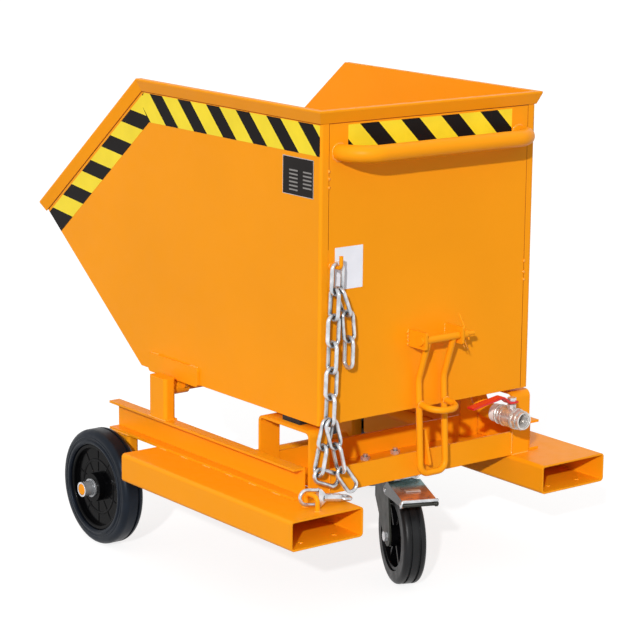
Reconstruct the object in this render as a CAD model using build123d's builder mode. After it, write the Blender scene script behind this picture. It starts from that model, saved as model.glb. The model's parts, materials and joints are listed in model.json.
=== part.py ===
from build123d import *
import os
from math import atan2, cos, radians, sin, sqrt, tan

# Tipping box trolley, millimetres, Z up. The dump lip points to -X and the push handle to +X.
# The origin lies on the floor, under the middle of the outer box. Left is -Y, seen from the handle.

# Clearances
bore_fit = 0.05
seat_gap = 0.3
link_gap = 0.6

# Nuts and bolt heads
hex_sides = 6

# Tub
tub_width = 552
tub_floor_z = 381
tub_top_z = 1001
floor_length = 624
knee_length = 624
lip_length = 1022
lip_z = 684
sheet = 3
sheet_bend = 3
corner_return = 20
seam_gap = 0.4
rim_height = 26
rim_reach = 10
rim_nose = 4
rim_toe = 1.5
rim_round = 1.3
handle_diameter = 33.7
handle_wall = 2.6
handle_inset = 45
handle_reach = 60
handle_bend = 58
handle_drop = 83
doubler_length = 184
doubler_height = 41
doubler_thickness = 6
doubler_corner = 8
doubler_drop = 4
doubler_shift = 3

# Labels and tapes
label_thickness = 0.5
tape_width = 63
tape_end = 3
rear_tape_inset = 66
rear_tape_height = 44
rear_tape_drop = 32
plate_width = 98
plate_height = 75
plate_back = 71
plate_drop = 136
sticker_width = 69
sticker_height = 84
sticker_inset = 71
sticker_z = 690

# Chassis
side_room = 20
pocket_width = 176
pocket_height = 61
pocket_wall = 4
pocket_corner = 8
pocket_z = 175
pocket_front = 494
pocket_overhang = 95
pocket_shift = 29
channel_height = 63
channel_flange = 29
channel_wall = 5
channel_corner = 4
channel_front = 677
channel_rear = 14
stand_width = 49
stand_gap = 5
stand_front = 177
stand_rear = 7
stand_thickness = 6
stand_bend = 14
pad_length = 57
pad_height = 10
pad_back = 88
pad_width = 30
beam_height = 51
beam_wall = 5

# Tipping hinge
pivot_back = 494
pivot_drop = 21
shaft_diameter = 20
shaft_tail = 8
bush_diameter = 30
bush_length = 46
lug_thickness = 8
lug_top = 70
lug_foot = 36
lug_inset = 10
post_width = 62
post_depth = 28
post_wall = 4
post_corner = 8
post_above_pivot = 28

# Front wheels
front_wheel_diameter = 250
wheel_spacer = 16
front_tread = 50
front_rim_diameter = 188
front_hub_diameter = 62
front_hub_length = 58
front_web = 24
front_shoulder = 12
front_groove = 10
groove_depth = 4
groove_width = 5
rim_wall = 9
rim_inset = 3
rim_edge = 3
rib_thickness = 6
rib_step = 5
axle_back = 636
axle_diameter = 25
axle_tail = 1
axle_chamfer = 2
axle_post_below = 25
spacer_diameter = 40
washer_diameter = 40
washer_thickness = 4
collar_diameter = 32
collar_length = 22

# Castor
castor_diameter = 200
castor_tread = 48
castor_rim_diameter = 146
castor_hub_diameter = 44
castor_hub_length = 54
castor_web = 10
castor_rib_count = 6
castor_window = 26
castor_shoulder = 10
castor_groove = 9
castor_trail = 50
castor_turn = -23
king_back = 92
plate_length = 140
plate_breadth = 110
plate_thickness = 6
hole_length = 105
hole_breadth = 80
castor_bolt = 10
castor_bolt_head = 6
castor_bolt_tail = 5
castor_nut = 17
castor_nut_height = 8
swivel_diameter = 92
swivel_height = 18
fork_crown = 5
fork_leg = 4
fork_inside = 58
fork_top_length = 92
fork_top_shift = 6
fork_top_depth = 50
fork_foot_radius = 21
castor_axle_diameter = 12
castor_axle_head = 7
castor_axle_hex = 19
pedal_width = 72
pedal_length = 113
pedal_thickness = 4
pedal_cheek = 2.5
pedal_cheek_drop = 11
pedal_slope = 5
pedal_hinge_back = 10
pedal_hinge_drop = 4
pedal_standoff = 19.4
pedal_start = 10
pedal_ear_radius = 9
pedal_stub_diameter = 8
pedal_slot_length = 14
pedal_slot_width = 3
pedal_slot_spacing = 34
pedal_slot_inset = 10
pedal_bar_length = 30
pedal_bar_width = 9
pedal_bar_height = 2

# Latch
latch_out = 42
latch_z = 530
latch_open = 3.3
cheek_reach = 54
cheek_height = 35
cheek_thickness = 6
cheek_span = 90
cheek_chamfer = 2
latch_pin_diameter = 10
latch_pin_tail = 34
latch_pin_head = 5
latch_pin_head_diameter = 18
latch_washer_diameter = 18
latch_washer = 14
split_pin_diameter = 3.5
split_pin_length = 58
split_pin_tail = 14
split_pin_lean = -34
sleeve_diameter = 16
rod_diameter = 13.5
bail_half_width = 33
bail_drop = 280
bail_knee_drop = 85
bail_set_back = 34
bail_bend = 20
bail_knee_bend = 50
pull_drop = 134
pull_reach = 54
pull_bend = 30
pull_slope = 10
catch_thickness = 6
catch_nose = 16
catch_low_z = 260
catch_nose_height = 5
catch_top_z = 330
catch_top_width = 5

# Drain valve
drain_inset = 86
drain_z = 338
drain_diameter = 33.7
drain_bore = 27
drain_bend = 36
drain_run = 55
drain_end = -2
tape_ring_diameter = 38
tape_ring_length = 14
valve_length = 56
valve_diameter = 42
valve_neck_diameter = 38
valve_bore = 25
valve_wall = 4
ball_diameter = 33
nipple_length = 18
nipple_width = 40
nipple_sides = 8
nipple_flat = 9
outlet_ring_diameter = 37
outlet_thread = 30.3
stem_boss_diameter = 18
stem_boss_rise = 28
stem_diameter = 9
lever_z = 369
lever_width = 20
lever_thickness = 4
lever_length = 112
lever_flat = 12
lever_step = 30
lever_rise = 15
lever_tip_drop = 13
lever_nut = 16
lever_nut_height = 7

# Safety chain
chain_out = 20
wire_diameter = 8
link_pitch = 53
link_width = 34
pair_spread = 4.6
main_leans = (-2, -2, -2, -2, -2)
left_leans = (-15, -12, 68)
right_leans = (16, 14, 38)
free_leans = (22, 6, -1)
hook_inset = 27
hook_z = 698
hook_diameter = 8
hook_reach = 32
hook_rise = 24
hook_bend = 8
eye_shift = -5
eye_back = 51
eye_width = 37
eye_height = 33
eye_diameter = 9.5
eye_bend = 12
snap_out = 44
snap_shift = -12
snap_z = 259.2
snap_turn = 80.5
snap_dip = 8
snap_wire = 7
snap_bow_radius = 14.5
snap_nose = 3
snap_straight = 26
snap_neck_length = 10
snap_neck_width = 11
snap_barrel_diameter = 16
snap_barrel_length = 38
snap_swivel_radius = 11
snap_swivel_wire = 8
gate_diameter = 6
gate_gap = 0.5

# Places worked out from the sizes above
wall_x = (lip_length - pocket_overhang) / 2
half_width = tub_width / 2
inner_half = half_width - sheet
channel_inner = half_width + side_room
pocket_y = channel_inner + pocket_shift
pocket_top = pocket_z + pocket_height
channel_top = pocket_top + channel_height
stand_outer = channel_inner - stand_gap
stand_inner = stand_outer - stand_width
stand_top = tub_floor_z - pad_height
pivot_x = wall_x - pivot_back
pivot_z = tub_floor_z - pivot_drop
axle_x = wall_x - axle_back
front_wheel_y = channel_inner + post_depth + wheel_spacer + front_hub_length / 2
axle_half = front_wheel_y + front_hub_length / 2 + washer_thickness + collar_length + axle_tail
axle_z = front_wheel_diameter / 2
king_x = wall_x - king_back
beam_x = wall_x - (stand_front + stand_rear) / 2
beam_length = stand_front - stand_rear
slope = atan2(tub_top_z - lip_z, lip_length - knee_length)
front_slope = atan2(lip_z - tub_floor_z, lip_length - floor_length)
handle_z = tub_top_z - handle_drop
plate_z = tub_top_z - plate_drop
latch_x = wall_x + latch_out
sticker_y = sticker_inset - half_width
hook_y = hook_inset - half_width
eye_y = eye_shift - pocket_y
snap_y = snap_shift - pocket_y
drain_y = half_width - drain_inset
stem_x = wall_x + drain_end + tape_ring_length + valve_length - valve_diameter / 2

os.makedirs("parts", exist_ok=True)


def save(piece, name):
    """Label a finished piece and write it under its own name."""
    piece.part.label = name
    export_step(piece.part, f"parts/{name}.step")


def save_pair(piece, name):
    """Write a left-hand piece and its mirror image on the right-hand side."""
    save(piece, f"{name}_left")
    with BuildPart() as opposite:
        mirror(piece.part, about=Plane.XZ)
    save(opposite, f"{name}_right")


def save_both(piece, name):
    """Write a left-hand piece and its mirror image as one group."""
    with BuildPart() as both:
        add(piece.part)
        mirror(piece.part, about=Plane.XZ)
    save(both, name)


def save_at(piece, name, place):
    """Write a piece that was drawn about its own origin, moved to its place."""
    with BuildPart() as placed:
        with Locations(place):
            add(piece.part)
    save(placed, name)


def left_plane(distance):
    """Upright plane to the left of the centre line, facing outwards, with X and Z in it."""
    return Plane.XZ.offset(distance)


def edge_point(along, depth):
    """Point of the tub's top edge at the rear, knee or lip, at a depth square to the edge."""
    if along == "rear":
        return (wall_x, tub_top_z - depth)
    if along == "knee":
        return (wall_x - knee_length + depth * tan(slope / 2), tub_top_z - depth)
    run = depth / sin(slope + front_slope)
    return (wall_x - lip_length + run * cos(front_slope), lip_z - run * sin(front_slope))


# Left and right U channels of the chassis, webs inwards
channel_middle = pocket_top + channel_height / 2
with BuildPart() as channel:
    with BuildSketch(Plane.YZ.offset(wall_x - channel_front)):
        with Locations((-channel_inner - channel_flange / 2, channel_middle)):
            outline = Rectangle(channel_flange, channel_height)
        fillet(outline.vertices().group_by(Axis.X)[-1], channel_corner)
        with Locations((-channel_inner - channel_wall - channel_flange / 2, channel_middle)):
            Rectangle(channel_flange, channel_height - 2 * channel_wall, mode=Mode.SUBTRACT)
    extrude(amount=channel_front - channel_rear)
save_pair(channel, "channel")

# Fork pockets, rectangular tubes open at both ends
with BuildPart() as pocket:
    with BuildSketch(Plane.YZ.offset(wall_x - pocket_front)):
        with Locations((-pocket_y, pocket_z + pocket_height / 2)):
            RectangleRounded(pocket_width, pocket_height, pocket_corner)
            RectangleRounded(
                pocket_width - 2 * pocket_wall,
                pocket_height - 2 * pocket_wall,
                pocket_corner - pocket_wall,
                mode=Mode.SUBTRACT,
            )
    extrude(amount=pocket_front + pocket_overhang)
save_pair(pocket, "fork_pocket")

# Rear crossbeam, a channel open upwards that lies on both pockets
with BuildPart() as beam:
    with BuildSketch(left_plane(-stand_inner)):
        with Locations((beam_x, pocket_top + beam_height / 2)):
            Rectangle(beam_length, beam_height)
        with Locations((beam_x, pocket_top + beam_wall + beam_height / 2)):
            Rectangle(beam_length - 2 * beam_wall, beam_height, mode=Mode.SUBTRACT)
    extrude(amount=2 * stand_inner)
    with BuildSketch(Plane.XY.offset(pocket_top)):
        with Locations((king_x, 0)):
            with GridLocations(hole_length, hole_breadth, 2, 2):
                Circle(castor_bolt / 2 + bore_fit)
    extrude(amount=beam_wall, mode=Mode.SUBTRACT)
save(beam, "rear_crossbeam")

# Stands bent from flat strip, which carry the rear of the tub
with BuildPart() as stand:
    with BuildSketch(left_plane(stand_inner)):
        with BuildLine():
            strip = FilletPolyline(
                (wall_x - stand_rear, pocket_top),
                (wall_x - stand_rear, stand_top),
                (wall_x - stand_front, stand_top),
                (wall_x - stand_front, pocket_top),
                radius=stand_bend,
            )
            offset(strip, amount=stand_thickness, side=Side.LEFT)
        make_face()
    extrude(amount=stand_width)
save_pair(stand, "stand")

# Rubber pads between the stands and the tub floor
with BuildPart() as pads:
    with Locations((wall_x - pad_back, 0, stand_top)):
        with GridLocations(0, tub_width - pad_width, 1, 2):
            Box(pad_length, pad_width, pad_height, align=(Align.CENTER, Align.CENTER, Align.MIN))
save(pads, "rubber_pads")

# Pivot posts on the channels, closed at the top
with BuildPart() as pivot_post:
    with BuildSketch(Plane.XY.offset(channel_top)):
        with Locations((pivot_x, -channel_inner - post_depth / 2)):
            RectangleRounded(post_width, post_depth, post_corner)
    extrude(amount=pivot_z + post_above_pivot - channel_top)
    with BuildSketch(Plane.XY.offset(channel_top)):
        with Locations((pivot_x, -channel_inner - post_depth / 2)):
            RectangleRounded(post_width - 2 * post_wall, post_depth - 2 * post_wall, post_corner - post_wall)
    extrude(amount=pivot_z + post_above_pivot - channel_top - post_wall, mode=Mode.SUBTRACT)
    with BuildSketch(left_plane(channel_inner)):
        with Locations((pivot_x, pivot_z)):
            Circle(shaft_diameter / 2 + bore_fit)
    extrude(amount=post_depth / 2, mode=Mode.SUBTRACT)
save_pair(pivot_post, "pivot_post")

# Shaft that the tub tips about, from post to post
shaft_half = channel_inner + post_wall + shaft_tail
with BuildPart() as pivot_shaft:
    with BuildSketch(left_plane(-shaft_half)):
        with Locations((pivot_x, pivot_z)):
            Circle(shaft_diameter / 2)
    extrude(amount=2 * shaft_half)
save(pivot_shaft, "pivot_shaft")

# Axle posts under the channels
axle_post_foot = axle_z - axle_post_below
with BuildPart() as axle_post:
    with BuildSketch(Plane.XY.offset(axle_post_foot)):
        with Locations((axle_x, -channel_inner - post_depth / 2)):
            RectangleRounded(post_width, post_depth, post_corner)
            RectangleRounded(
                post_width - 2 * post_wall,
                post_depth - 2 * post_wall,
                post_corner - post_wall,
                mode=Mode.SUBTRACT,
            )
    extrude(amount=pocket_top - axle_post_foot)
    with BuildSketch(left_plane(channel_inner)):
        with Locations((axle_x, axle_z)):
            Circle(axle_diameter / 2 + bore_fit)
    extrude(amount=post_depth, mode=Mode.SUBTRACT)
save_pair(axle_post, "axle_post")

# Wheel axle through both axle posts
with BuildPart() as axle:
    with BuildSketch(left_plane(-axle_half)):
        with Locations((axle_x, axle_z)):
            Circle(axle_diameter / 2)
    extrude(amount=2 * axle_half)
    chamfer(axle.edges().filter_by(GeomType.CIRCLE), axle_chamfer)
save(axle, "wheel_axle")

# Spacers inside the front wheels, washers and set collars outside them
spacer_start = channel_inner + post_depth
spacer_end = front_wheel_y - front_hub_length / 2 - seat_gap
washer_start = front_wheel_y + front_hub_length / 2 + seat_gap
with BuildPart() as left_collars:
    with BuildSketch(left_plane(spacer_start)):
        with Locations((axle_x, axle_z)):
            Circle(spacer_diameter / 2)
            Circle(axle_diameter / 2 + bore_fit, mode=Mode.SUBTRACT)
    extrude(amount=spacer_end - spacer_start)
    with BuildSketch(left_plane(washer_start)):
        with Locations((axle_x, axle_z)):
            Circle(washer_diameter / 2)
            Circle(axle_diameter / 2 + bore_fit, mode=Mode.SUBTRACT)
    extrude(amount=washer_thickness)
    with BuildSketch(left_plane(washer_start + washer_thickness)):
        with Locations((axle_x, axle_z)):
            Circle(collar_diameter / 2)
            Circle(axle_diameter / 2 + bore_fit, mode=Mode.SUBTRACT)
    extrude(amount=collar_length)
save_both(left_collars, "axle_collars")

# Catch plate on the crossbeam, with a ramp for the bail and a nose that holds it
catch_x = wall_x - stand_rear
with BuildPart() as catch:
    with BuildSketch(left_plane(-catch_thickness / 2)):
        with BuildLine():
            Polyline(
                (catch_x, catch_low_z),
                (wall_x + catch_nose, catch_low_z),
                (wall_x + catch_nose, catch_low_z + catch_nose_height),
                (catch_x + catch_top_width, catch_top_z),
                (catch_x, catch_top_z),
                close=True,
            )
        make_face()
    extrude(amount=catch_thickness)
save(catch, "catch_plate")

# Staple eye for the chain, on the left pocket
eye_x = wall_x + eye_back
with BuildPart() as chain_eye:
    with BuildLine(Plane.XZ.offset(-eye_y)) as eye_path:
        FilletPolyline(
            (eye_x - eye_width / 2, pocket_top),
            (eye_x - eye_width / 2, pocket_top + eye_height - eye_diameter / 2),
            (eye_x + eye_width / 2, pocket_top + eye_height - eye_diameter / 2),
            (eye_x + eye_width / 2, pocket_top),
            radius=eye_bend,
        )
    with BuildSketch(Plane(origin=eye_path.line @ 0, z_dir=eye_path.line % 0)):
        Circle(eye_diameter / 2)
    sweep(path=eye_path.line)
save(chain_eye, "chain_eye")

# Side panels of the tub, each with a return bent round the rear corner
panel_outline = (
    (wall_x, tub_floor_z),
    (wall_x - floor_length, tub_floor_z),
    edge_point("lip", 0),
    edge_point("knee", 0),
    edge_point("rear", 0),
)
with BuildPart() as side_panel:
    with BuildSketch(left_plane(inner_half)):
        with BuildLine():
            Polyline(*panel_outline, close=True)
        make_face()
    extrude(amount=sheet)
    with BuildSketch(Plane.XY.offset(tub_floor_z)):
        with Locations((wall_x - sheet / 2, -half_width + corner_return / 2)):
            Rectangle(sheet, corner_return)
    extrude(amount=tub_top_z - tub_floor_z)
    uprights = side_panel.edges().filter_by(Axis.Z)
    fillet(uprights.sort_by_distance((wall_x, -half_width, tub_top_z))[0], sheet + sheet_bend)
    uprights = side_panel.edges().filter_by(Axis.Z)
    fillet(uprights.sort_by_distance((wall_x - sheet, -inner_half, tub_top_z))[0], sheet_bend)
save_pair(side_panel, "side_panel")

# Rear wall between the two returns
rear_width = tub_width - 2 * corner_return - 2 * seam_gap
with BuildPart() as rear_wall:
    with BuildSketch(Plane.XY.offset(tub_floor_z)):
        with Locations((wall_x - sheet / 2, 0)):
            Rectangle(sheet, rear_width)
    extrude(amount=tub_top_z - tub_floor_z)
save(rear_wall, "rear_wall")

# Floor and front slope in one bent sheet, with the outlet hole of the drain
drain_x = wall_x + drain_end - drain_run
with BuildPart() as floor_sheet:
    with BuildSketch(left_plane(-inner_half)):
        with BuildLine():
            underside = FilletPolyline(
                (wall_x - sheet, tub_floor_z),
                (wall_x - floor_length, tub_floor_z),
                edge_point("lip", 0),
                radius=sheet + sheet_bend,
            )
            offset(underside, amount=sheet, side=Side.RIGHT)
        make_face()
    extrude(amount=2 * inner_half)
    chamfer(floor_sheet.edges().filter_by(Axis.Z).group_by(Axis.X)[-1], sheet_bend)
    with BuildSketch(Plane.XY.offset(tub_floor_z)):
        with Locations((drain_x, drain_y)):
            Circle(drain_bore / 2)
    extrude(amount=sheet, mode=Mode.SUBTRACT)
save(floor_sheet, "floor_sheet")

# Rim bars round the top edge, mitred at the rear corners
rim_section = (
    (0, 0),
    (rim_reach, 0),
    (rim_reach, -rim_nose),
    (rim_toe, -rim_height),
    (0, -rim_height),
)
left_mitre = Plane(origin=(wall_x, -half_width, 0), z_dir=(1, 1, 0))
right_mitre = Plane(origin=(wall_x, half_width, 0), z_dir=(1, -1, 0))
rim_start = (wall_x + rim_reach, tub_top_z)
with BuildPart() as rim_side:
    with BuildLine(left_plane(half_width)) as rim_path:
        Polyline(rim_start, edge_point("knee", 0), edge_point("lip", 0))
    with BuildSketch(Plane(origin=rim_path.line @ 0, x_dir=(0, -1, 0), z_dir=(-1, 0, 0))) as section:
        with BuildLine():
            Polyline(*rim_section, close=True)
        make_face()
        fillet(section.vertices().group_by(Axis.X)[-1], rim_round)
    sweep(path=rim_path.line, transition=Transition.RIGHT)
    split(bisect_by=left_mitre, keep=Keep.BOTTOM)
save_pair(rim_side, "rim")

with BuildPart() as rim_rear:
    with BuildSketch(left_plane(-half_width - rim_reach)) as section:
        with BuildLine():
            Polyline(*[(wall_x + x, tub_top_z + z) for x, z in rim_section], close=True)
        make_face()
        fillet(section.vertices().group_by(Axis.X)[-1], rim_round)
    extrude(amount=tub_width + 2 * rim_reach)
    split(bisect_by=left_mitre, keep=Keep.TOP)
    split(bisect_by=right_mitre, keep=Keep.TOP)
save(rim_rear, "rim_rear")

# Push handle, a bent tube welded to the rear wall
handle_half = half_width - handle_inset
with BuildPart() as handle:
    with BuildLine(Plane.XY.offset(handle_z)) as handle_path:
        FilletPolyline(
            (wall_x, -handle_half),
            (wall_x + handle_reach, -handle_half),
            (wall_x + handle_reach, handle_half),
            (wall_x, handle_half),
            radius=handle_bend,
        )
    with BuildSketch(Plane(origin=handle_path.line @ 0, z_dir=handle_path.line % 0)):
        Circle(handle_diameter / 2)
        Circle(handle_diameter / 2 - handle_wall, mode=Mode.SUBTRACT)
    sweep(path=handle_path.line)
save(handle, "push_handle")

# Doubler plates on the tub sides, over the hinge
with BuildPart() as doubler:
    with BuildSketch(left_plane(half_width)):
        with Locations((pivot_x - doubler_shift, tub_floor_z - doubler_drop + doubler_height / 2)):
            RectangleRounded(doubler_length, doubler_height, doubler_corner)
    extrude(amount=doubler_thickness)
save_both(doubler, "doubler_plates")

# Hinge lugs under the floor and the bushes welded into them
with BuildPart() as lug:
    with BuildSketch(left_plane(half_width - lug_inset - lug_thickness)):
        with BuildLine():
            Polyline(
                (pivot_x - lug_top / 2, tub_floor_z),
                (pivot_x + lug_top / 2, tub_floor_z),
                (pivot_x + lug_foot / 2, pivot_z),
                (pivot_x - lug_foot / 2, pivot_z),
                close=True,
            )
        make_face()
        with Locations((pivot_x, pivot_z)):
            Circle(bush_diameter / 2, mode=Mode.SUBTRACT)
    extrude(amount=lug_thickness)
save_both(lug, "hinge_lugs")

bush_outer = channel_inner - seat_gap
with BuildPart() as left_bush:
    with BuildSketch(left_plane(bush_outer - bush_length)):
        with Locations((pivot_x, pivot_z)):
            Circle(bush_diameter / 2)
            Circle(shaft_diameter / 2 + bore_fit, mode=Mode.SUBTRACT)
    extrude(amount=bush_length)
save_both(left_bush, "pivot_bushes")

# Latch brackets, two cheeks on the rear wall with the holes of the latch pin
cheek_inner = cheek_span / 2
with BuildPart() as left_cheek:
    with BuildSketch(left_plane(cheek_inner)) as cheek_outline:
        with Locations((wall_x + cheek_reach / 2, latch_z)):
            Rectangle(cheek_reach, cheek_height)
        chamfer(cheek_outline.vertices().group_by(Axis.X)[-1], cheek_chamfer)
        with Locations((latch_x, latch_z)):
            Circle(latch_pin_diameter / 2 + bore_fit, mode=Mode.SUBTRACT)
    extrude(amount=cheek_thickness)
save_both(left_cheek, "latch_brackets")

# Latch pin with its head on the left, and a washer held by split pins on the right
pin_left = cheek_inner + cheek_thickness
pin_washer_start = pin_left + seat_gap
split_pin_y = pin_washer_start + latch_washer + split_pin_diameter / 2 + seat_gap
with BuildPart() as latch_pin:
    with BuildSketch(left_plane(-pin_left - latch_pin_tail)):
        with Locations((latch_x, latch_z)):
            Circle(latch_pin_diameter / 2)
    extrude(amount=2 * pin_left + latch_pin_tail)
    with BuildSketch(left_plane(pin_left)):
        with Locations((latch_x, latch_z)):
            Circle(latch_pin_head_diameter / 2)
    extrude(amount=latch_pin_head)
    with Locations(Location((latch_x, split_pin_y, latch_z), (0, split_pin_lean, 0))):
        Cylinder(split_pin_diameter / 2 + bore_fit, 2 * split_pin_tail, mode=Mode.SUBTRACT)
save(latch_pin, "latch_pin")

with BuildPart() as split_pin:
    with Locations(Location((latch_x, split_pin_y, latch_z), (0, split_pin_lean, 0))):
        with Locations((0, 0, -split_pin_tail)):
            Cylinder(
                split_pin_diameter / 2,
                split_pin_length,
                align=(Align.CENTER, Align.CENTER, Align.MIN),
            )
    with BuildSketch(left_plane(-pin_washer_start - latch_washer)):
        with Locations((latch_x, latch_z)):
            Circle(latch_washer_diameter / 2)
            Circle(latch_pin_diameter / 2 + bore_fit, mode=Mode.SUBTRACT)
    extrude(amount=latch_washer)
save(split_pin, "split_pin_and_washer")

# Bail that hooks under the catch: a sleeve on the pin and a bent rod, drawn latched about the hinge
bail_place = Location((latch_x, 0, latch_z), (0, -latch_open, 0))
with BuildPart() as bail:
    with BuildLine() as bail_path:
        FilletPolyline(
            (0, -bail_half_width, 0),
            (-bail_set_back, -bail_half_width, -bail_knee_drop),
            (-bail_set_back, -bail_half_width, -bail_drop),
            (-bail_set_back, bail_half_width, -bail_drop),
            (-bail_set_back, bail_half_width, -bail_knee_drop),
            (0, bail_half_width, 0),
            radius=(bail_knee_bend, bail_bend, bail_bend, bail_knee_bend),
        )
    with BuildSketch(Plane(origin=bail_path.line @ 0, z_dir=bail_path.line % 0)):
        Circle(rod_diameter / 2)
    sweep(path=bail_path.line)
    with BuildSketch(Plane.XZ.offset(-cheek_inner + 2 * seat_gap)):
        Circle(sleeve_diameter / 2)
    extrude(amount=cheek_span - 4 * seat_gap)
    with BuildSketch(Plane.XZ.offset(-cheek_inner)):
        Circle(latch_pin_diameter / 2 + bore_fit)
    extrude(amount=cheek_span, mode=Mode.SUBTRACT)
save_at(bail, "bail", bail_place)

# Pull loop welded to the bail, in a plane that slopes down away from the wall
pull_place = Location((-bail_set_back, 0, -pull_drop), (0, pull_slope, 0))
with BuildPart() as pull:
    with BuildLine(Plane(pull_place)) as pull_path:
        FilletPolyline(
            (0, -bail_half_width),
            (pull_reach, -bail_half_width),
            (pull_reach, bail_half_width),
            (0, bail_half_width),
            radius=pull_bend,
        )
    with BuildSketch(Plane(origin=pull_path.line @ 0, z_dir=pull_path.line % 0)):
        Circle(rod_diameter / 2)
    sweep(path=pull_path.line)
    add(bail.part, mode=Mode.SUBTRACT)
save_at(pull, "latch_pull", bail_place)

# Drain pipe under the floor, a bend with a straight end for the valve
with BuildPart() as drain:
    with BuildLine(left_plane(-drain_y)) as drain_path:
        FilletPolyline(
            (drain_x, tub_floor_z),
            (drain_x, drain_z),
            (wall_x + drain_end, drain_z),
            radius=drain_bend,
        )
    with BuildSketch(Plane(origin=drain_path.line @ 0, z_dir=drain_path.line % 0)):
        Circle(drain_diameter / 2)
        Circle(drain_bore / 2, mode=Mode.SUBTRACT)
    sweep(path=drain_path.line)
save(drain, "drain_pipe")

# Thread tape wound on the pipe's end
tape_ring_x = wall_x + drain_end
with BuildPart() as thread_tape:
    with BuildSketch(Plane.YZ.offset(tape_ring_x)):
        with Locations((drain_y, drain_z)):
            Circle(tape_ring_diameter / 2)
            Circle(drain_bore / 2, mode=Mode.SUBTRACT)
    extrude(amount=tape_ring_length)
save(thread_tape, "thread_tape")

# Valve body with its ball chamber and stem boss
valve_x = tape_ring_x + tape_ring_length
valve_axis = Axis((valve_x, drain_y, drain_z), (1, 0, 0))
with BuildPart() as valve:
    with BuildSketch(Plane(origin=(valve_x, drain_y, drain_z), x_dir=(1, 0, 0), z_dir=(0, -1, 0))):
        with BuildLine():
            Polyline(
                (0, valve_bore / 2),
                (0, valve_neck_diameter / 2),
                (valve_length - valve_diameter, valve_neck_diameter / 2),
                (valve_length - valve_diameter, valve_diameter / 2),
                (valve_length, valve_diameter / 2),
                (valve_length, valve_bore / 2),
                close=True,
            )
        make_face()
    revolve(axis=valve_axis)
    with BuildSketch(Plane.XY.offset(drain_z)):
        with Locations((stem_x, drain_y)):
            Circle(stem_boss_diameter / 2)
    extrude(amount=stem_boss_rise)
    with Locations((stem_x, drain_y, drain_z)):
        Sphere(ball_diameter / 2 + seat_gap, mode=Mode.SUBTRACT)
    with BuildSketch(Plane.XY.offset(drain_z)):
        with Locations((stem_x, drain_y)):
            Circle(stem_diameter / 2 + bore_fit)
    extrude(amount=stem_boss_rise, mode=Mode.SUBTRACT)
save(valve, "valve_body")

# Threaded outlet of the valve, with flats for a spanner and a round end
with BuildPart() as nipple:
    with BuildSketch(Plane.YZ.offset(valve_x + valve_length)):
        with Locations((drain_y, drain_z)):
            RegularPolygon(nipple_width / 2, nipple_sides, major_radius=False)
            Circle(outlet_thread / 2, mode=Mode.SUBTRACT)
    extrude(amount=nipple_flat)
    with BuildSketch(Plane.YZ.offset(valve_x + valve_length + nipple_flat)):
        with Locations((drain_y, drain_z)):
            Circle(outlet_ring_diameter / 2)
            Circle(outlet_thread / 2, mode=Mode.SUBTRACT)
    extrude(amount=nipple_length - nipple_flat)
save(nipple, "valve_end")

# Ball and stem that the lever turns
with BuildPart() as ball:
    with Locations((stem_x, drain_y, drain_z)):
        Sphere(ball_diameter / 2)
    with BuildSketch(Plane.XY.offset(drain_z)):
        with Locations((stem_x, drain_y)):
            Circle(stem_diameter / 2)
    extrude(amount=lever_z + lever_thickness - drain_z)
    with BuildSketch(Plane.XZ.offset(-drain_y - ball_diameter)):
        with Locations((stem_x, drain_z)):
            Circle(valve_bore / 2 - valve_wall)
    extrude(amount=2 * ball_diameter, mode=Mode.SUBTRACT)
save(ball, "valve_ball_and_stem")

# Lever across the valve when it is shut, cranked upwards
lever_turn = drain_y - lever_step
with BuildPart() as lever:
    with BuildSketch(Plane.YZ.offset(stem_x - lever_width / 2)):
        with BuildLine():
            grip = FilletPolyline(
                (drain_y + lever_width / 2, lever_z),
                (drain_y - lever_flat, lever_z),
                (lever_turn, lever_z + lever_rise),
                (drain_y - lever_length, lever_z + lever_rise - lever_tip_drop),
                radius=lever_width / 2,
            )
            offset(grip, amount=lever_thickness, side=Side.RIGHT)
        make_face()
    extrude(amount=lever_width)
    with BuildSketch(Plane.XY.offset(lever_z)):
        with Locations((stem_x, drain_y)):
            Circle(stem_diameter / 2 + bore_fit)
    extrude(amount=lever_thickness, mode=Mode.SUBTRACT)
save(lever, "valve_lever")

with BuildPart() as nut:
    with BuildSketch(Plane.XY.offset(lever_z + lever_thickness)):
        with Locations((stem_x, drain_y)):
            RegularPolygon(lever_nut / 2, hex_sides, major_radius=False)
    extrude(amount=lever_nut_height)
save(nut, "lever_nut")

# Adhesive hazard tapes below the rim, a nameplate blank and a sticker blank
tape_outline = (
    (edge_point("rear", 0)[0] - tape_end, tub_top_z - rim_height),
    edge_point("knee", rim_height),
    edge_point("lip", rim_height),
    edge_point("lip", rim_height + tape_width),
    edge_point("knee", rim_height + tape_width),
    (edge_point("rear", 0)[0] - tape_end, tub_top_z - rim_height - tape_width),
)
with BuildPart() as side_tape:
    with BuildSketch(left_plane(half_width)):
        with BuildLine():
            Polyline(*tape_outline, close=True)
        make_face()
    extrude(amount=label_thickness)
save_pair(side_tape, "hazard_tape")

with BuildPart() as rear_tape:
    with BuildSketch(Plane.YZ.offset(wall_x)):
        with Locations((0, tub_top_z - rear_tape_drop - rear_tape_height / 2)):
            Rectangle(tub_width - 2 * rear_tape_inset, rear_tape_height)
    extrude(amount=label_thickness)
save(rear_tape, "hazard_tape_rear")

with BuildPart() as nameplate:
    with BuildSketch(left_plane(half_width)):
        with Locations((wall_x - plate_back, plate_z)):
            Rectangle(plate_width, plate_height)
    extrude(amount=label_thickness)
save(nameplate, "nameplate")

with BuildPart() as sticker:
    with BuildSketch(Plane.YZ.offset(wall_x)):
        with Locations((sticker_y, sticker_z)):
            Rectangle(sticker_width, sticker_height)
    extrude(amount=label_thickness)
save(sticker, "sticker")

# Wheels turn about axes along Y; the same two functions make the front wheels and the castor wheel


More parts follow.
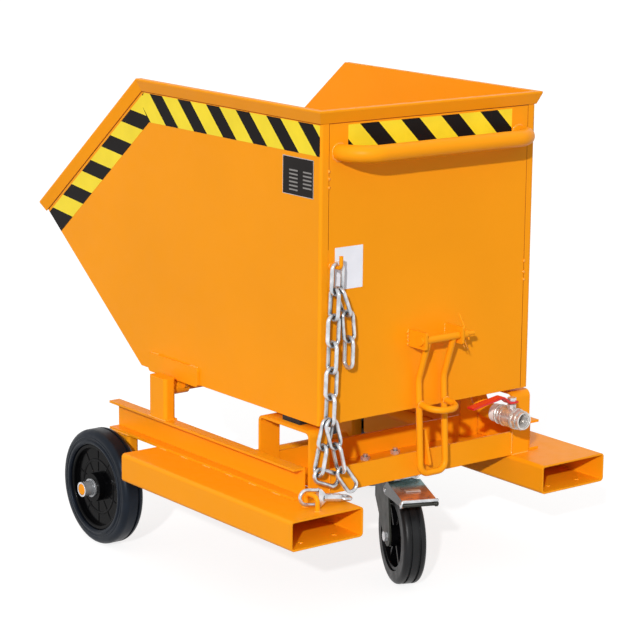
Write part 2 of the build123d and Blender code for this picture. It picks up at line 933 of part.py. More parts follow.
def tyre(centre, outer, inner, width, shoulder, grooves):
    """Solid rubber tyre with grooves at the given distances from its middle."""
    with BuildPart() as piece:
        with BuildSketch(Plane(origin=centre)) as profile:
            with Locations(((outer + inner) / 4, 0)):
                Rectangle((outer - inner) / 2, width)
            fillet(profile.vertices().group_by(Axis.X)[-1], shoulder)
            with Locations(*[(outer / 2, place) for place in grooves]):
                Rectangle(2 * groove_depth, groove_width, mode=Mode.SUBTRACT)
        revolve(axis=Axis(centre, (0, 1, 0)))
    return piece


def wheel_core(centre, bore, hub, hub_length, rim, rim_width, web, rib_count=0, window=0):
    """Hub, web and rim of a wheel; ribs and the round windows between them are optional."""
    plane = Plane(origin=centre, x_dir=(1, 0, 0), z_dir=(0, -1, 0))
    rim_inside = rim / 2 - rim_wall
    with BuildPart() as piece:
        with BuildSketch(plane):
            Circle(rim / 2)
            Circle(rim_inside, mode=Mode.SUBTRACT)
        extrude(amount=rim_width / 2, both=True)
        fillet(piece.edges().filter_by(GeomType.CIRCLE), rim_edge)
        with BuildSketch(plane):
            Circle(hub / 2)
        extrude(amount=hub_length / 2, both=True)
        with BuildSketch(plane):
            Circle(rim_inside + rim_wall / 2)
            if window:
                with PolarLocations((hub / 2 + rim_inside) / 2, rib_count, start_angle=180 / rib_count):
                    Circle(window / 2, mode=Mode.SUBTRACT)
        extrude(amount=web / 2, both=True)
        if rib_count:
            with BuildSketch(plane):
                with PolarLocations((hub / 2 + rim_inside) / 2, rib_count):
                    Rectangle(rim_inside - hub / 2 + rim_wall, rib_thickness)
            extrude(amount=rim_width / 2 - rib_step, both=True)
        with BuildSketch(plane):
            Circle(bore / 2 + bore_fit)
        extrude(amount=hub_length, both=True, mode=Mode.SUBTRACT)
    return piece


# Front wheels on the axle
front_centre = (axle_x, -front_wheel_y, axle_z)
front_tyre = tyre(
    front_centre,
    front_wheel_diameter,
    front_rim_diameter,
    front_tread,
    front_shoulder,
    (front_groove,),
)
save_pair(front_tyre, "front_tyre")
front_core = wheel_core(
    front_centre,
    axle_diameter,
    front_hub_diameter,
    front_hub_length,
    front_rim_diameter,
    front_tread - 2 * rim_inset,
    front_web,
)
save_pair(front_core, "front_wheel_core")

# Castor top plate under the crossbeam
plate_low = pocket_top - plate_thickness
with BuildPart() as castor_plate:
    with BuildSketch(Plane.XY.offset(plate_low)):
        with Locations((king_x, 0)):
            RectangleRounded(plate_length, plate_breadth, plate_thickness)
            with GridLocations(hole_length, hole_breadth, 2, 2):
                Circle(castor_bolt / 2 + bore_fit, mode=Mode.SUBTRACT)
    extrude(amount=plate_thickness)
save(castor_plate, "castor_plate")

# Four bolts with nuts hold the plate to the crossbeam
nut_low = pocket_top + beam_wall
with BuildPart() as castor_bolts:
    with BuildSketch(Plane.XY.offset(plate_low)):
        with Locations((king_x, 0)):
            with GridLocations(hole_length, hole_breadth, 2, 2):
                RegularPolygon(castor_nut / 2, hex_sides, major_radius=False)
    extrude(amount=-castor_bolt_head)
    with BuildSketch(Plane.XY.offset(plate_low)):
        with Locations((king_x, 0)):
            with GridLocations(hole_length, hole_breadth, 2, 2):
                Circle(castor_bolt / 2)
    extrude(amount=nut_low + castor_nut_height + castor_bolt_tail - plate_low)
with BuildPart() as castor_nuts:
    with BuildSketch(Plane.XY.offset(nut_low)):
        with Locations((king_x, 0)):
            with GridLocations(hole_length, hole_breadth, 2, 2):
                RegularPolygon(castor_nut / 2, hex_sides, major_radius=False)
                Circle(castor_bolt / 2 + bore_fit, mode=Mode.SUBTRACT)
    extrude(amount=castor_nut_height)
with BuildPart() as castor_fasteners:
    add(castor_bolts.part)
    add(castor_nuts.part)
save(castor_fasteners, "castor_bolts")

# Castor pieces are drawn about the swivel axis with the wheel trailing to +X, then turned to rest
castor_place = Location((king_x, 0, 0), (0, 0, castor_turn))
castor_radius = castor_diameter / 2
castor_centre = (castor_trail, 0, castor_radius)
swivel_top = plate_low - seat_gap
crown_top = swivel_top - swivel_height
leg_outer = fork_inside / 2 + fork_leg
pedal_hinge = (castor_trail - pedal_hinge_back, castor_diameter - pedal_hinge_drop)
with BuildPart() as fork:
    with BuildSketch(Plane.XZ.offset(-leg_outer)):
        with Locations((fork_top_shift, crown_top - fork_top_depth / 2)):
            Rectangle(fork_top_length, fork_top_depth)
        with Locations((castor_trail, castor_radius)):
            Circle(fork_foot_radius)
        make_hull()
    extrude(amount=2 * leg_outer)
    with BuildSketch(Plane.YZ.offset(-castor_diameter)):
        with Locations((0, (crown_top - fork_crown) / 2)):
            Rectangle(fork_inside, crown_top - fork_crown)
    extrude(amount=2 * castor_diameter, mode=Mode.SUBTRACT)
    with BuildSketch(Plane.XY.offset(crown_top)):
        Circle(swivel_diameter / 2)
    extrude(amount=swivel_height)
    with BuildSketch(Plane.XZ.offset(-leg_outer)):
        with Locations((castor_trail, castor_radius)):
            Circle(castor_axle_diameter / 2 + bore_fit)
        with Locations(pedal_hinge):
            Circle(pedal_stub_diameter / 2 + bore_fit)
    extrude(amount=2 * leg_outer, mode=Mode.SUBTRACT)
save_at(fork, "castor_fork", castor_place)

with BuildPart() as castor_axle:
    with BuildSketch(Plane.XZ.offset(-leg_outer)):
        with Locations((castor_trail, castor_radius)):
            Circle(castor_axle_diameter / 2)
    extrude(amount=2 * leg_outer + castor_axle_head)
    for start in (-leg_outer - castor_axle_head, leg_outer):
        with BuildSketch(Plane.XZ.offset(start)):
            with Locations((castor_trail, castor_radius)):
                RegularPolygon(castor_axle_hex / 2, hex_sides, major_radius=False)
        extrude(amount=castor_axle_head)
save_at(castor_axle, "castor_axle", castor_place)

# Brake pedal, drawn about its hinge with the tread plate level
pedal_place = castor_place * Location((pedal_hinge[0], 0, pedal_hinge[1]), (0, pedal_slope, 0))
pedal_middle = pedal_start + pedal_length / 2
cheek_start = pedal_width / 2 - pedal_cheek
with BuildPart() as pedal:
    with Locations((pedal_middle, 0, pedal_standoff)):
        Box(pedal_length, pedal_width, pedal_thickness, align=(Align.CENTER, Align.CENTER, Align.MIN))
    for start in (-cheek_start - pedal_cheek, cheek_start):
        with BuildSketch(Plane.XZ.offset(start)):
            Circle(pedal_ear_radius)
            with Locations((pedal_middle, pedal_standoff - pedal_cheek_drop / 2)):
                Rectangle(pedal_length, pedal_cheek_drop)
            make_hull()
        extrude(amount=pedal_cheek)
    for start in (-cheek_start, fork_inside / 2):
        with BuildSketch(Plane.XZ.offset(start)):
            Circle(pedal_stub_diameter / 2)
        extrude(amount=cheek_start - fork_inside / 2)
    with BuildSketch(Plane.XY.offset(pedal_standoff)):
        with Locations((pedal_start + pedal_length - pedal_slot_inset, 0)):
            with GridLocations(0, pedal_slot_spacing, 1, 2):
                Rectangle(pedal_slot_width, pedal_slot_length)
    extrude(amount=pedal_thickness, mode=Mode.SUBTRACT)
    with Locations((pedal_middle + pedal_bar_width, 0, pedal_standoff + pedal_thickness)):
        Box(pedal_bar_width, pedal_bar_length, 2 * pedal_bar_height)
save_at(pedal, "brake_pedal", pedal_place)

# Castor wheel
castor_tyre = tyre(
    castor_centre,
    castor_diameter,
    castor_rim_diameter,
    castor_tread,
    castor_shoulder,
    (-castor_groove, castor_groove),
)
save_at(castor_tyre, "castor_tyre", castor_place)
castor_core = wheel_core(
    castor_centre,
    castor_axle_diameter,
    castor_hub_diameter,
    castor_hub_length,
    castor_rim_diameter,
    castor_tread - 2 * rim_inset,
    castor_web,
    castor_rib_count,
    castor_window,
)
save_at(castor_core, "castor_wheel_core", castor_place)

# Chain hook on the rear wall, a rod bent up at its end
with BuildPart() as chain_hook:
    with BuildLine(left_plane(-hook_y)) as hook_path:
        FilletPolyline(
            (wall_x, hook_z),
            (wall_x + hook_reach, hook_z),
            (wall_x + hook_reach, hook_z + hook_rise),
            radius=hook_bend,
        )
    with BuildSketch(Plane(origin=hook_path.line @ 0, z_dir=hook_path.line % 0)):
        Circle(hook_diameter / 2)
    sweep(path=hook_path.line)
save(chain_hook, "chain_hook")

# Safety chain, drawn below the rod of its hook.
# A link is a centre, a lean towards +Y and a turn about its length.
link_half = (link_pitch + wire_diameter) / 2
link_bow = (link_width - wire_diameter) / 2
quarter_turn = 90


def downwards(lean):
    """Direction of a hanging link that leans by an angle."""
    return Vector(0, sin(radians(lean)), -cos(radians(lean)))


def link_below(above, lean, across=0):
    """The next link: a quarter turn from the one above, set across it where two links share its bow."""
    centre, above_lean, above_turn = above
    down = downwards(above_lean)
    own = downwards(lean)
    room = sqrt((link_bow - wire_diameter) ** 2 - across ** 2) - link_gap
    contact = centre + down * (link_half - link_bow + room)
    if above_turn:
        return contact + Vector(0, across, 0) + own * link_half, lean, 0
    rest = contact + Vector(across, 0, 0) + down * wire_diameter
    return rest + own * (link_half - wire_diameter), lean, quarter_turn


def strand(above, leans, across=0):
    """A run of links, one below another."""
    links = []
    for lean in leans:
        links.append(link_below(above, lean, across=across))
        above = links[-1]
        across = 0
    return links


chain_top = hook_z + hook_diameter / 2 + seat_gap
chain_place = Location((wall_x + chain_out, hook_y, chain_top))
first_link = (Vector(0, 0, -link_pitch / 2), main_leans[0], quarter_turn)
main_links = strand(first_link, main_leans[1:], across=-pair_spread)
fork_link = link_below(main_links[-1], main_leans[-1])
left_links = strand(fork_link, left_leans, across=-pair_spread)
right_links = strand(fork_link, right_leans, across=pair_spread)
free_links = strand(first_link, free_leans, across=pair_spread)

chain_links = [first_link, *main_links, fork_link, *left_links, *right_links, *free_links]

# One round steel link in the XZ plane, long axis upright, placed for every link of the chain
link_straight = link_half - link_bow
with BuildPart() as link:
    with Locations((-link_bow, 0, 0), (link_bow, 0, 0)):
        Cylinder(wire_diameter / 2, 2 * link_straight)
    with BuildSketch(Plane.XY.offset(link_straight)):
        with Locations((link_bow, 0)):
            Circle(wire_diameter / 2)
    revolve(axis=Axis((0, 0, link_straight), (0, -1, 0)), revolution_arc=180)
    mirror(about=Plane.XY)
with BuildPart() as chain:
    for centre, lean, turn in chain_links:
        with Locations(Location(centre, (lean, 0, turn))):
            add(link.part)
save_at(chain, "safety_chain", chain_place)

# Snap hook through the eye, drawn about the middle of its bow with the barrel to +X
snap_heading = Location((wall_x + snap_out, snap_y, snap_z), (0, 0, snap_turn))
snap_place = snap_heading * Location((0, 0, 0), (0, snap_dip, 0))
neck_end = snap_straight + snap_neck_length
neck_low_x = snap_straight + snap_wire / 2
barrel_end = neck_end + snap_barrel_length
with BuildPart() as snap_hook:
    with BuildLine(Plane.XZ) as bow_path:
        Line((snap_straight, snap_bow_radius), (0, snap_bow_radius))
        CenterArc((0, 0), snap_bow_radius, 90, 180)
        Line((0, -snap_bow_radius), (snap_nose, -snap_bow_radius))
    with BuildSketch(Plane(origin=bow_path.line @ 0, z_dir=bow_path.line % 0)):
        Circle(snap_wire / 2)
    sweep(path=bow_path.line)
    with BuildSketch(Plane.XZ.offset(-snap_neck_width / 2)):
        with Locations((snap_straight, snap_bow_radius), (neck_low_x, -snap_bow_radius)):
            Circle(snap_wire / 2)
        with Locations((neck_end, 0)):
            Circle(snap_barrel_diameter / 2)
        make_hull()
    extrude(amount=snap_neck_width)
    with BuildSketch(Plane.YZ.offset(neck_end)):
        Circle(snap_barrel_diameter / 2)
    extrude(amount=snap_barrel_length)
    with Locations((barrel_end + snap_swivel_radius, 0, 0)):
        Torus(snap_swivel_radius, snap_swivel_wire / 2)
save_at(snap_hook, "snap_hook", snap_place)

# Sprung gate that closes the bow, with a knuckle at its hinge
knuckle_x = snap_straight - gate_gap - snap_wire / 2
gate_start = snap_nose + gate_gap
with BuildPart() as gate:
    with BuildSketch(Plane.YZ.offset(gate_start)):
        with Locations((0, -snap_bow_radius)):
            Circle(gate_diameter / 2)
    extrude(amount=knuckle_x - gate_start)
    with BuildSketch(Plane.XZ.offset(-snap_wire / 2)):
        with Locations((knuckle_x, -snap_bow_radius)):
            Circle(snap_wire / 2)
    extrude(amount=snap_wire)
save_at(gate, "snap_gate", snap_place)
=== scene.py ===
import json
import random
from math import atan2, cos, pi, radians, sin, tan

import bmesh
import bpy
from mathutils import Matrix, Vector


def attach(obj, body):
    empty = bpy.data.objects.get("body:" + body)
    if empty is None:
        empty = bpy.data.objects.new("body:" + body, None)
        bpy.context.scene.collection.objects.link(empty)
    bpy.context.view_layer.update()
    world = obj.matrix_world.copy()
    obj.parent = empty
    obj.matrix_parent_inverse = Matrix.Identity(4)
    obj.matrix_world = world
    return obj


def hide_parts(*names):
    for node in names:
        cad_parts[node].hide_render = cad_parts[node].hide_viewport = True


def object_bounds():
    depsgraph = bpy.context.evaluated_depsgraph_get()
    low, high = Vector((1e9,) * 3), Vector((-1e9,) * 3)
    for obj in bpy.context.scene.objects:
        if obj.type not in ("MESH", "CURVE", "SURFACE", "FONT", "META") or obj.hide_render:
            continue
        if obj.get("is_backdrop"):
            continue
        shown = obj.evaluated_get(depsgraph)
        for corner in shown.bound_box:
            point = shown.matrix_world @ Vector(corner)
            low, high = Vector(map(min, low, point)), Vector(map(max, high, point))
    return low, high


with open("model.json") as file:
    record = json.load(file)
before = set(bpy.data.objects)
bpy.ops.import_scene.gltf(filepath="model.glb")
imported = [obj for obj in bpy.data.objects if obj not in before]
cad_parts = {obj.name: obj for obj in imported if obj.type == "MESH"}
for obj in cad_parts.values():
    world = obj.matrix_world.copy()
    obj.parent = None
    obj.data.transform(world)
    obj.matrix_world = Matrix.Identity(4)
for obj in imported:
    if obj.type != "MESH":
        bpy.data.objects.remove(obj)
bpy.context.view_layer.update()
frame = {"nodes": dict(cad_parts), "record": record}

# Sizes of the trolley that the dressing needs, in metres
MM = 0.001
WALL_X = 463.5 * MM
HALF_WIDTH = 276 * MM
FLOOR_Z = 381 * MM
TOP_Z = 1001 * MM
KNEE_X = -160.5 * MM
LIP_X = -558.5 * MM
LIP_Z = 684 * MM
POCKET_TOP = 236 * MM
CHANNEL_TOP = 299 * MM
CHANNEL_IN = 296 * MM
FILM = 0.5 * MM

SLOPE = atan2(TOP_Z - LIP_Z, KNEE_X - LIP_X)


def linear(hex_colour):
    """Scene-linear colour of a hex colour as it looks on screen."""
    channels = [int(hex_colour[i:i + 2], 16) / 255 for i in (1, 3, 5)]
    return tuple(c / 12.92 if c <= 0.04045 else ((c + 0.055) / 1.055) ** 2.4 for c in channels) + (1.0,)


# Materials: noise mostly lies between its low and high value, and so does the openness of a crevice
NOISE_LOW = 0.3
NOISE_HIGH = 0.7
CREVICE_LOW = 0.55
CREVICE_HIGH = 0.95
CREVICE_REACH = 25 * MM
NEUTRAL = (1.0, 1.0, 1.0, 1.0)
BLUISH = (0.72, 0.85, 1.0, 1.0)


class Nodes:
    """Small helper round one material's node tree."""

    def __init__(self, name):
        self.material = bpy.data.materials.new(name)
        self.material.use_nodes = True
        self.tree = self.material.node_tree
        self.shader = self.tree.nodes["Principled BSDF"]
        self.coordinates = self.tree.nodes.new("ShaderNodeTexCoord")
        self.place = self.coordinates.outputs["Object"]

    def add(self, kind, **settings):
        node = self.tree.nodes.new(kind)
        for key, value in settings.items():
            setattr(node, key, value)
        return node

    def link(self, source, target):
        self.tree.links.new(source, target)

    def noise(self, scale, detail=3.0, roughness=0.55):
        node = self.add("ShaderNodeTexNoise")
        node.inputs["Scale"].default_value = scale
        node.inputs["Detail"].default_value = detail
        node.inputs["Roughness"].default_value = roughness
        self.link(self.place, node.inputs["Vector"])
        return node.outputs["Fac"]

    def ramp(self, value, stops):
        """Colour of a value between two stops, each a position with its colour."""
        node = self.add("ShaderNodeValToRGB")
        for element, (position, colour) in zip(node.color_ramp.elements, stops):
            element.position = position
            element.color = colour
        self.link(value, node.inputs["Fac"])
        return node.outputs["Color"]

    def level(self, value, start, end, low=0.0, high=1.0):
        """Goes from low to high as a value goes from start to end."""
        node = self.add("ShaderNodeMapRange")
        node.inputs["From Min"].default_value = start
        node.inputs["From Max"].default_value = end
        node.inputs["To Min"].default_value = low
        node.inputs["To Max"].default_value = high
        self.link(value, node.inputs["Value"])
        return node.outputs["Result"]

    def dot(self, vector, direction):
        node = self.add("ShaderNodeVectorMath", operation="DOT_PRODUCT")
        node.inputs[1].default_value = direction
        self.link(vector, node.inputs[0])
        return node.outputs["Value"]

    def colour(self, value):
        self.link(value, self.shader.inputs["Base Color"])

    def gloss(self, value, low, high):
        """Roughness as noise stretched from low to high."""
        self.link(self.level(value, NOISE_LOW, NOISE_HIGH, low, high), self.shader.inputs["Roughness"])

    def facing(self, direction, low, high):
        """Rises from 0 to 1 as the surface turns to a direction or away from it, both sides alike."""
        size = self.add("ShaderNodeMath", operation="ABSOLUTE")
        self.link(self.dot(self.coordinates.outputs["Normal"], direction), size.inputs[0])
        return self.level(size.outputs[0], low, high)

    def crevice(self, distance):
        """Rises from 0 in crevices of the piece to 1 on its open surfaces."""
        node = self.add("ShaderNodeAmbientOcclusion", samples=8, only_local=True)
        node.inputs["Distance"].default_value = distance
        return self.level(node.outputs["AO"], CREVICE_LOW, CREVICE_HIGH)

    def along(self, direction, start, end):
        """Rises from 0 to 1 between two places along a direction."""
        return self.level(self.dot(self.place, direction), start, end)

    def mix(self, share, first, second):
        node = self.add("ShaderNodeMix", data_type="RGBA")
        self.link(share, node.inputs["Factor"])
        self.link(first, node.inputs["A"])
        self.link(second, node.inputs["B"])
        return node.outputs["Result"]

    def bump(self, heights, edge=0.0):
        """Chain of bumps, each a height with its strength and depth in metres."""
        normal = None
        if edge:
            bevel = self.add("ShaderNodeBevel", samples=4)
            bevel.inputs["Radius"].default_value = edge
            normal = bevel.outputs["Normal"]
        for value, strength, depth in heights:
            node = self.add("ShaderNodeBump")
            node.inputs["Strength"].default_value = strength
            node.inputs["Distance"].default_value = depth
            self.link(value, node.inputs["Height"])
            if normal:
                self.link(normal, node.inputs["Normal"])
            normal = node.outputs["Normal"]
        self.link(normal, self.shader.inputs["Normal"])

    def set(self, **values):
        for key, value in values.items():
            self.shader.inputs[key.replace("_", " ")].default_value = value


def shade(colour, factor):
    """The same colour, lighter or darker."""
    return tuple(min(1.0, c * factor) for c in colour[:3]) + (1.0,)


def painted(name, colour, low_rough, high_rough, edge=1.2 * MM, vary=0.04, shine=0.12):
    """Powder coat: broad tone drift, uneven gloss and a fine orange peel."""
    n = Nodes(name)
    n.set(Specular_IOR_Level=shine)
    drift = n.noise(scale=2.3, detail=4.0)
    n.colour(n.ramp(drift, [(NOISE_LOW, shade(colour, 1 - vary)), (NOISE_HIGH, shade(colour, 1 + vary))]))
    n.gloss(n.noise(scale=38.0, detail=4.0), low_rough, high_rough)
    waves = n.noise(scale=160.0, detail=2.0)
    peel = n.noise(scale=750.0, detail=1.0)
    n.bump([(waves, 0.10, 0.4 * MM), (peel, 0.12, 0.1 * MM)], edge)
    return n.material


def metal(name, dark, light, low_rough, high_rough, metallic, crevice_shade, scale=60.0, edge=0.6 * MM):
    """Plated steel: cloudy tone, painted shade darkening its crevices, uneven gloss and fine scratches."""
    n = Nodes(name)
    n.set(Metallic=metallic)
    cloud = n.noise(scale, detail=5.0, roughness=0.6)
    # Painted shade: where ambient occlusion finds a crevice, the cloudy tone gives way to a darker copy of
    # itself
    open_tone = n.ramp(cloud, [(0.35, dark), (0.65, light)])
    shaded_tone = n.ramp(cloud, [(0.35, shade(dark, crevice_shade)), (0.65, shade(light, crevice_shade))])
    n.colour(n.mix(n.crevice(CREVICE_REACH), shaded_tone, open_tone))
    n.gloss(n.noise(scale * 2.5, detail=4.0, roughness=0.6), low_rough, high_rough)
    scratches = n.noise(scale=420.0, detail=3.0, roughness=0.6)
    n.bump([(scratches, 0.18, 0.2 * MM)], edge)
    return n.material


def rubber(name, dark, light, low_rough, high_rough, grain=900.0, edge=0.8 * MM, shine=0.35, tint=NEUTRAL):
    """Moulded rubber or plastic: dusty patches, a fine grain and a tinted sheen."""
    n = Nodes(name)
    n.set(Specular_IOR_Level=shine, Specular_Tint=tint)
    dust = n.noise(scale=22.0, detail=6.0, roughness=0.65)
    n.colour(n.ramp(dust, [(0.35, dark), (0.75, light)]))
    n.gloss(n.noise(scale=45.0, detail=4.0), low_rough, high_rough)
    n.bump([(n.noise(grain, detail=2.0), 0.15, 0.1 * MM)], edge)
    return n.material


def film(name, colour, low_rough, high_rough, shine=0.2):
    """Adhesive film: slight tone drift, soft waves and a fine reflective cell pattern."""
    n = Nodes(name)
    n.set(Specular_IOR_Level=shine)
    drift = n.noise(scale=14.0, detail=3.0)
    n.colour(n.ramp(drift, [(NOISE_LOW, shade(colour, 0.94)), (NOISE_HIGH, shade(colour, 1.04))]))
    n.gloss(n.noise(scale=30.0, detail=3.0), low_rough, high_rough)
    cells = n.add("ShaderNodeTexVoronoi")
    cells.inputs["Scale"].default_value = 320.0
    n.link(n.place, cells.inputs["Vector"])
    waves = n.noise(scale=9.0, detail=2.0)
    n.bump([(waves, 0.10, 1.0 * MM), (cells.outputs["Distance"], 0.06, 0.1 * MM)])
    return n.material


CASTOR_TURN = radians(-23)
castor_side = (-sin(CASTOR_TURN), cos(CASTOR_TURN), 0)
castor_way = (cos(CASTOR_TURN), sin(CASTOR_TURN), 0)
# Where the pedal's painted sky reflection fades into its painted reflection of the orange chassis, along
# the castor's way
REFLECTION_SHIFT_START = 424 * MM
REFLECTION_SHIFT_END = 446 * MM


def pedal_metal(name):
    """Bright tread plate with painted reflections, teal for the sky near the swivel and copper for the
    orange chassis beyond, with painted shade on its dark upright cheeks.
    """
    n = Nodes(name)
    n.set(Metallic=0.75)
    # Painted shade: faces turned to the castor's sides take a near-black tone
    cheek = n.facing(castor_side, low=0.6, high=0.8)
    cloud = n.noise(scale=70.0, detail=5.0, roughness=0.6)
    # Painted reflections: copper stands for the reflected orange chassis, teal near the swivel for the
    # reflected sky
    copper = n.ramp(cloud, [(NOISE_LOW, linear("#B98468")), (NOISE_HIGH, linear("#D9A488"))])
    teal = n.ramp(cloud, [(NOISE_LOW, linear("#7FA3A3")), (NOISE_HIGH, linear("#A4C4C2"))])
    plate = n.mix(n.along(castor_way, REFLECTION_SHIFT_START, REFLECTION_SHIFT_END), teal, copper)
    cheek_noise = n.noise(scale=35.0, detail=5.0, roughness=0.6)
    sides = n.ramp(cheek_noise, [(NOISE_LOW, linear("#171716")), (NOISE_HIGH, linear("#232322"))])
    n.colour(n.mix(cheek, plate, sides))
    n.gloss(n.noise(scale=120.0, detail=4.0), low=0.14, high=0.24)
    scratches = n.noise(scale=420.0, detail=3.0)
    n.bump([(scratches, 0.10, 0.15 * MM)], edge=0.8 * MM)
    return n.material


ORANGE = (0.95, 0.332, 0.005, 1.0)
looks = {
    "orange_paint": painted("orange_powder_coat", ORANGE, 0.36, 0.46),
    "zinc_steel": metal("zinc_plating", linear("#B8BBBF"), linear("#E8EAED"), 0.14, 0.24, 0.72, 0.26),
    "nickel_brass": metal("nickel_plating", linear("#BBB5AF"), linear("#E6E1DC"), 0.22, 0.34, 0.66, 0.75),
    "red_lever": painted("red_lever_coat", linear("#DC2420"), 0.26, 0.36, edge=0.8 * MM, shine=0.4),
    "black_rubber": rubber("pad_rubber", linear("#1A1918"), linear("#2B2927"), 0.6, 0.75),
    # Painted reflection: the front tyres' base colour and sheen tint are bluish, standing for reflected sky
    "tyre_rubber": rubber("tyre_rubber", linear("#0A0D13"), linear("#131822"), 0.32, 0.48,
                          shine=0.22, tint=BLUISH),
    "wheel_plastic": rubber("wheel_plastic", linear("#050506"), linear("#0B0B0C"), 0.16, 0.24,
                            grain=500.0, shine=0.06),
    "pedal_plate": pedal_metal("pedal_painted_reflections_and_shade"),
    "fork_steel": rubber("fork_steel", linear("#282925"), linear("#363731"), 0.34, 0.46,
                         grain=300.0, shine=0.2),
    "white_tape": rubber("thread_tape", linear("#F0EFEC"), linear("#FDFDFB"), 0.5, 0.65, grain=400.0),
    "hazard_film": film("hazard_yellow", linear("#F7DC2B"), 0.28, 0.38),
    "plate_film": film("plate_dark", linear("#211D1C"), 0.34, 0.46, shine=0.08),
    "sticker_film": film("sticker_white", linear("#EEEFF6"), 0.30, 0.42),
}
hazard_black = film("hazard_black", linear("#1A1615"), 0.30, 0.42, shine=0.05)
plate_pale = film("plate_pale", linear("#CFCBC6"), 0.30, 0.42)
plate_grey = film("plate_grey", linear("#8E8A87"), 0.34, 0.46, shine=0.1)
# Painted shade: a dark brown for the lines of shadow under the rim bars and of shade in the rear corner
# gaps
painted_gap_shade = painted("painted_gap_shade", linear("#A84C0D"), 0.5, 0.6)
weld_coat = painted("weld_coat", ORANGE, 0.14, 0.24, edge=0.4 * MM, shine=0.7)

# The castor's tyre is plain black, without the front tyres' painted bluish reflection
castor_rubber = rubber("castor_rubber", linear("#0D0E0F"), linear("#18191B"), 0.32, 0.48, shine=0.24)

slot_of = {entry["node"]: entry["material_slot"] for entry in frame["record"]["subparts"]}
for name, node in frame["nodes"].items():
    node.data.materials.clear()
    node.data.materials.append(castor_rubber if name == "castor_tyre" else looks[slot_of[name]])


# Mesh pieces


def piece(name, mesh, body, slot, materials=None, smooth=False):
    """Make an object of a bmesh, give it its materials and let it ride on a body."""
    data = bpy.data.meshes.new(name)
    if smooth:
        for face in mesh.faces:
            face.smooth = True
    mesh.to_mesh(data)
    mesh.free()
    for material in materials or [looks[slot]]:
        data.materials.append(material)
    item = bpy.data.objects.new(name, data)
    bpy.context.scene.collection.objects.link(item)
    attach(item, body)
    return item


def add_rings(mesh, rings, closed=False):
    """Skin over rings of points; the ends are filled unless the row of rings is closed."""
    rows = [[mesh.verts.new(point) for point in ring] for ring in rings]
    sides = len(rows[0])
    pairs = list(zip(rows, rows[1:]))
    if closed:
        pairs.append((rows[-1], rows[0]))
    for first, second in pairs:
        for i in range(sides):
            j = (i + 1) % sides
            mesh.faces.new((first[i], first[j], second[j], second[i]))
    if not closed:
        mesh.faces.new(rows[0][::-1])
        mesh.faces.new(rows[-1])


def add_rod(mesh, path, radii, sides=10, closed=False):
    """Round rod along a path with one radius per point."""
    points = [Vector(p) for p in path]
    count = len(points)
    normal = None
    rings = []
    for i, point in enumerate(points):
        if closed:
            tangent = points[(i + 1) % count] - points[i - 1]
        else:
            tangent = points[min(i + 1, count - 1)] - points[max(i - 1, 0)]
        tangent.normalize()
        if normal is None:
            normal = tangent.orthogonal().normalized()
        normal = (normal - tangent * normal.dot(tangent)).normalized()
        other = tangent.cross(normal)
        turns = [2 * pi * k / sides for k in range(sides)]
        rings.append([point + (normal * cos(t) + other * sin(t)) * radii[i] for t in turns])
    add_rings(mesh, rings, closed)


def add_lathe(mesh, profile, place, sides):
    """Closed profile of (along, radius) points turned about the local Z axis."""
    rings = []
    for k in range(sides):
        turn = 2 * pi * k / sides
        rings.append([place @ Vector((r * cos(turn), r * sin(turn), z)) for z, r in profile])
    add_rings(mesh, rings, closed=True)


def along(direction, origin):
    """Placement whose local Z axis points in a direction."""
    return Matrix.Translation(origin) @ Vector(direction).to_track_quat("Z", "Y").to_matrix().to_4x4()


def finished(mesh):
    bmesh.ops.recalc_face_normals(mesh, faces=mesh.faces[:])
    return mesh


# Hazard tapes: strips cut into yellow fields and black bars that lean by 45 degrees
BAR_PERIOD = 102.6 * MM
BAR_WIDTH = 46.5 * MM
SPARE_BARS = 4
NO_BLACK_END = -10 * BAR_PERIOD


def striped_strip(outline, run, first_bar, to_space, outward, black_before):
    """Film of one outline, with leaning bars and a black end before a place along it."""
    mesh = bmesh.new()
    mesh.faces.new([mesh.verts.new((u, v, 0)) for u, v in outline])
    across = Vector((run[1], -run[0]))
    lean = (Vector(run) + across).normalized()
    side = Vector((-lean.y, lean.x, 0))
    reach = [Vector(p).dot(Vector(run)) for p in outline]
    count = int((max(reach) - min(reach)) / BAR_PERIOD) + SPARE_BARS
    for i in range(-count, count):
        for extra in (0, BAR_WIDTH):
            point = Vector(first_bar) + Vector(run) * (i * BAR_PERIOD + extra)
            bmesh.ops.bisect_plane(
                mesh,
                geom=mesh.verts[:] + mesh.edges[:] + mesh.faces[:],
                plane_co=(point.x, point.y, 0),
                plane_no=side,
            )
    step = Vector(run).dot(side.xy)
    for face in mesh.faces:
        middle = face.calc_center_median().xy - Vector(first_bar)
        place = middle.dot(side.xy) / step
        face.material_index = int(place < black_before or place % BAR_PERIOD < BAR_WIDTH)
    flat_count = len(mesh.verts)
    bmesh.ops.extrude_face_region(mesh, geom=mesh.faces[:])
    mesh.verts.ensure_lookup_table()
    for v in mesh.verts[flat_count:]:
        v.co.z = FILM
    for v in mesh.verts:
        v.co = Vector(to_space(v.co.x, v.co.y)) + Vector(outward) * v.co.z
    return finished(mesh)


def tape(name, outline, run, first_bar, to_space, outward, node, black_before=NO_BLACK_END):
    """Striped strip on the tub in place of a plain tape of the solids."""
    mesh = striped_strip(outline, run, first_bar, to_space, outward, black_before)
    item = piece(name, mesh, "tub", "hazard_film", [looks["hazard_film"], hazard_black])
    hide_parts(node)


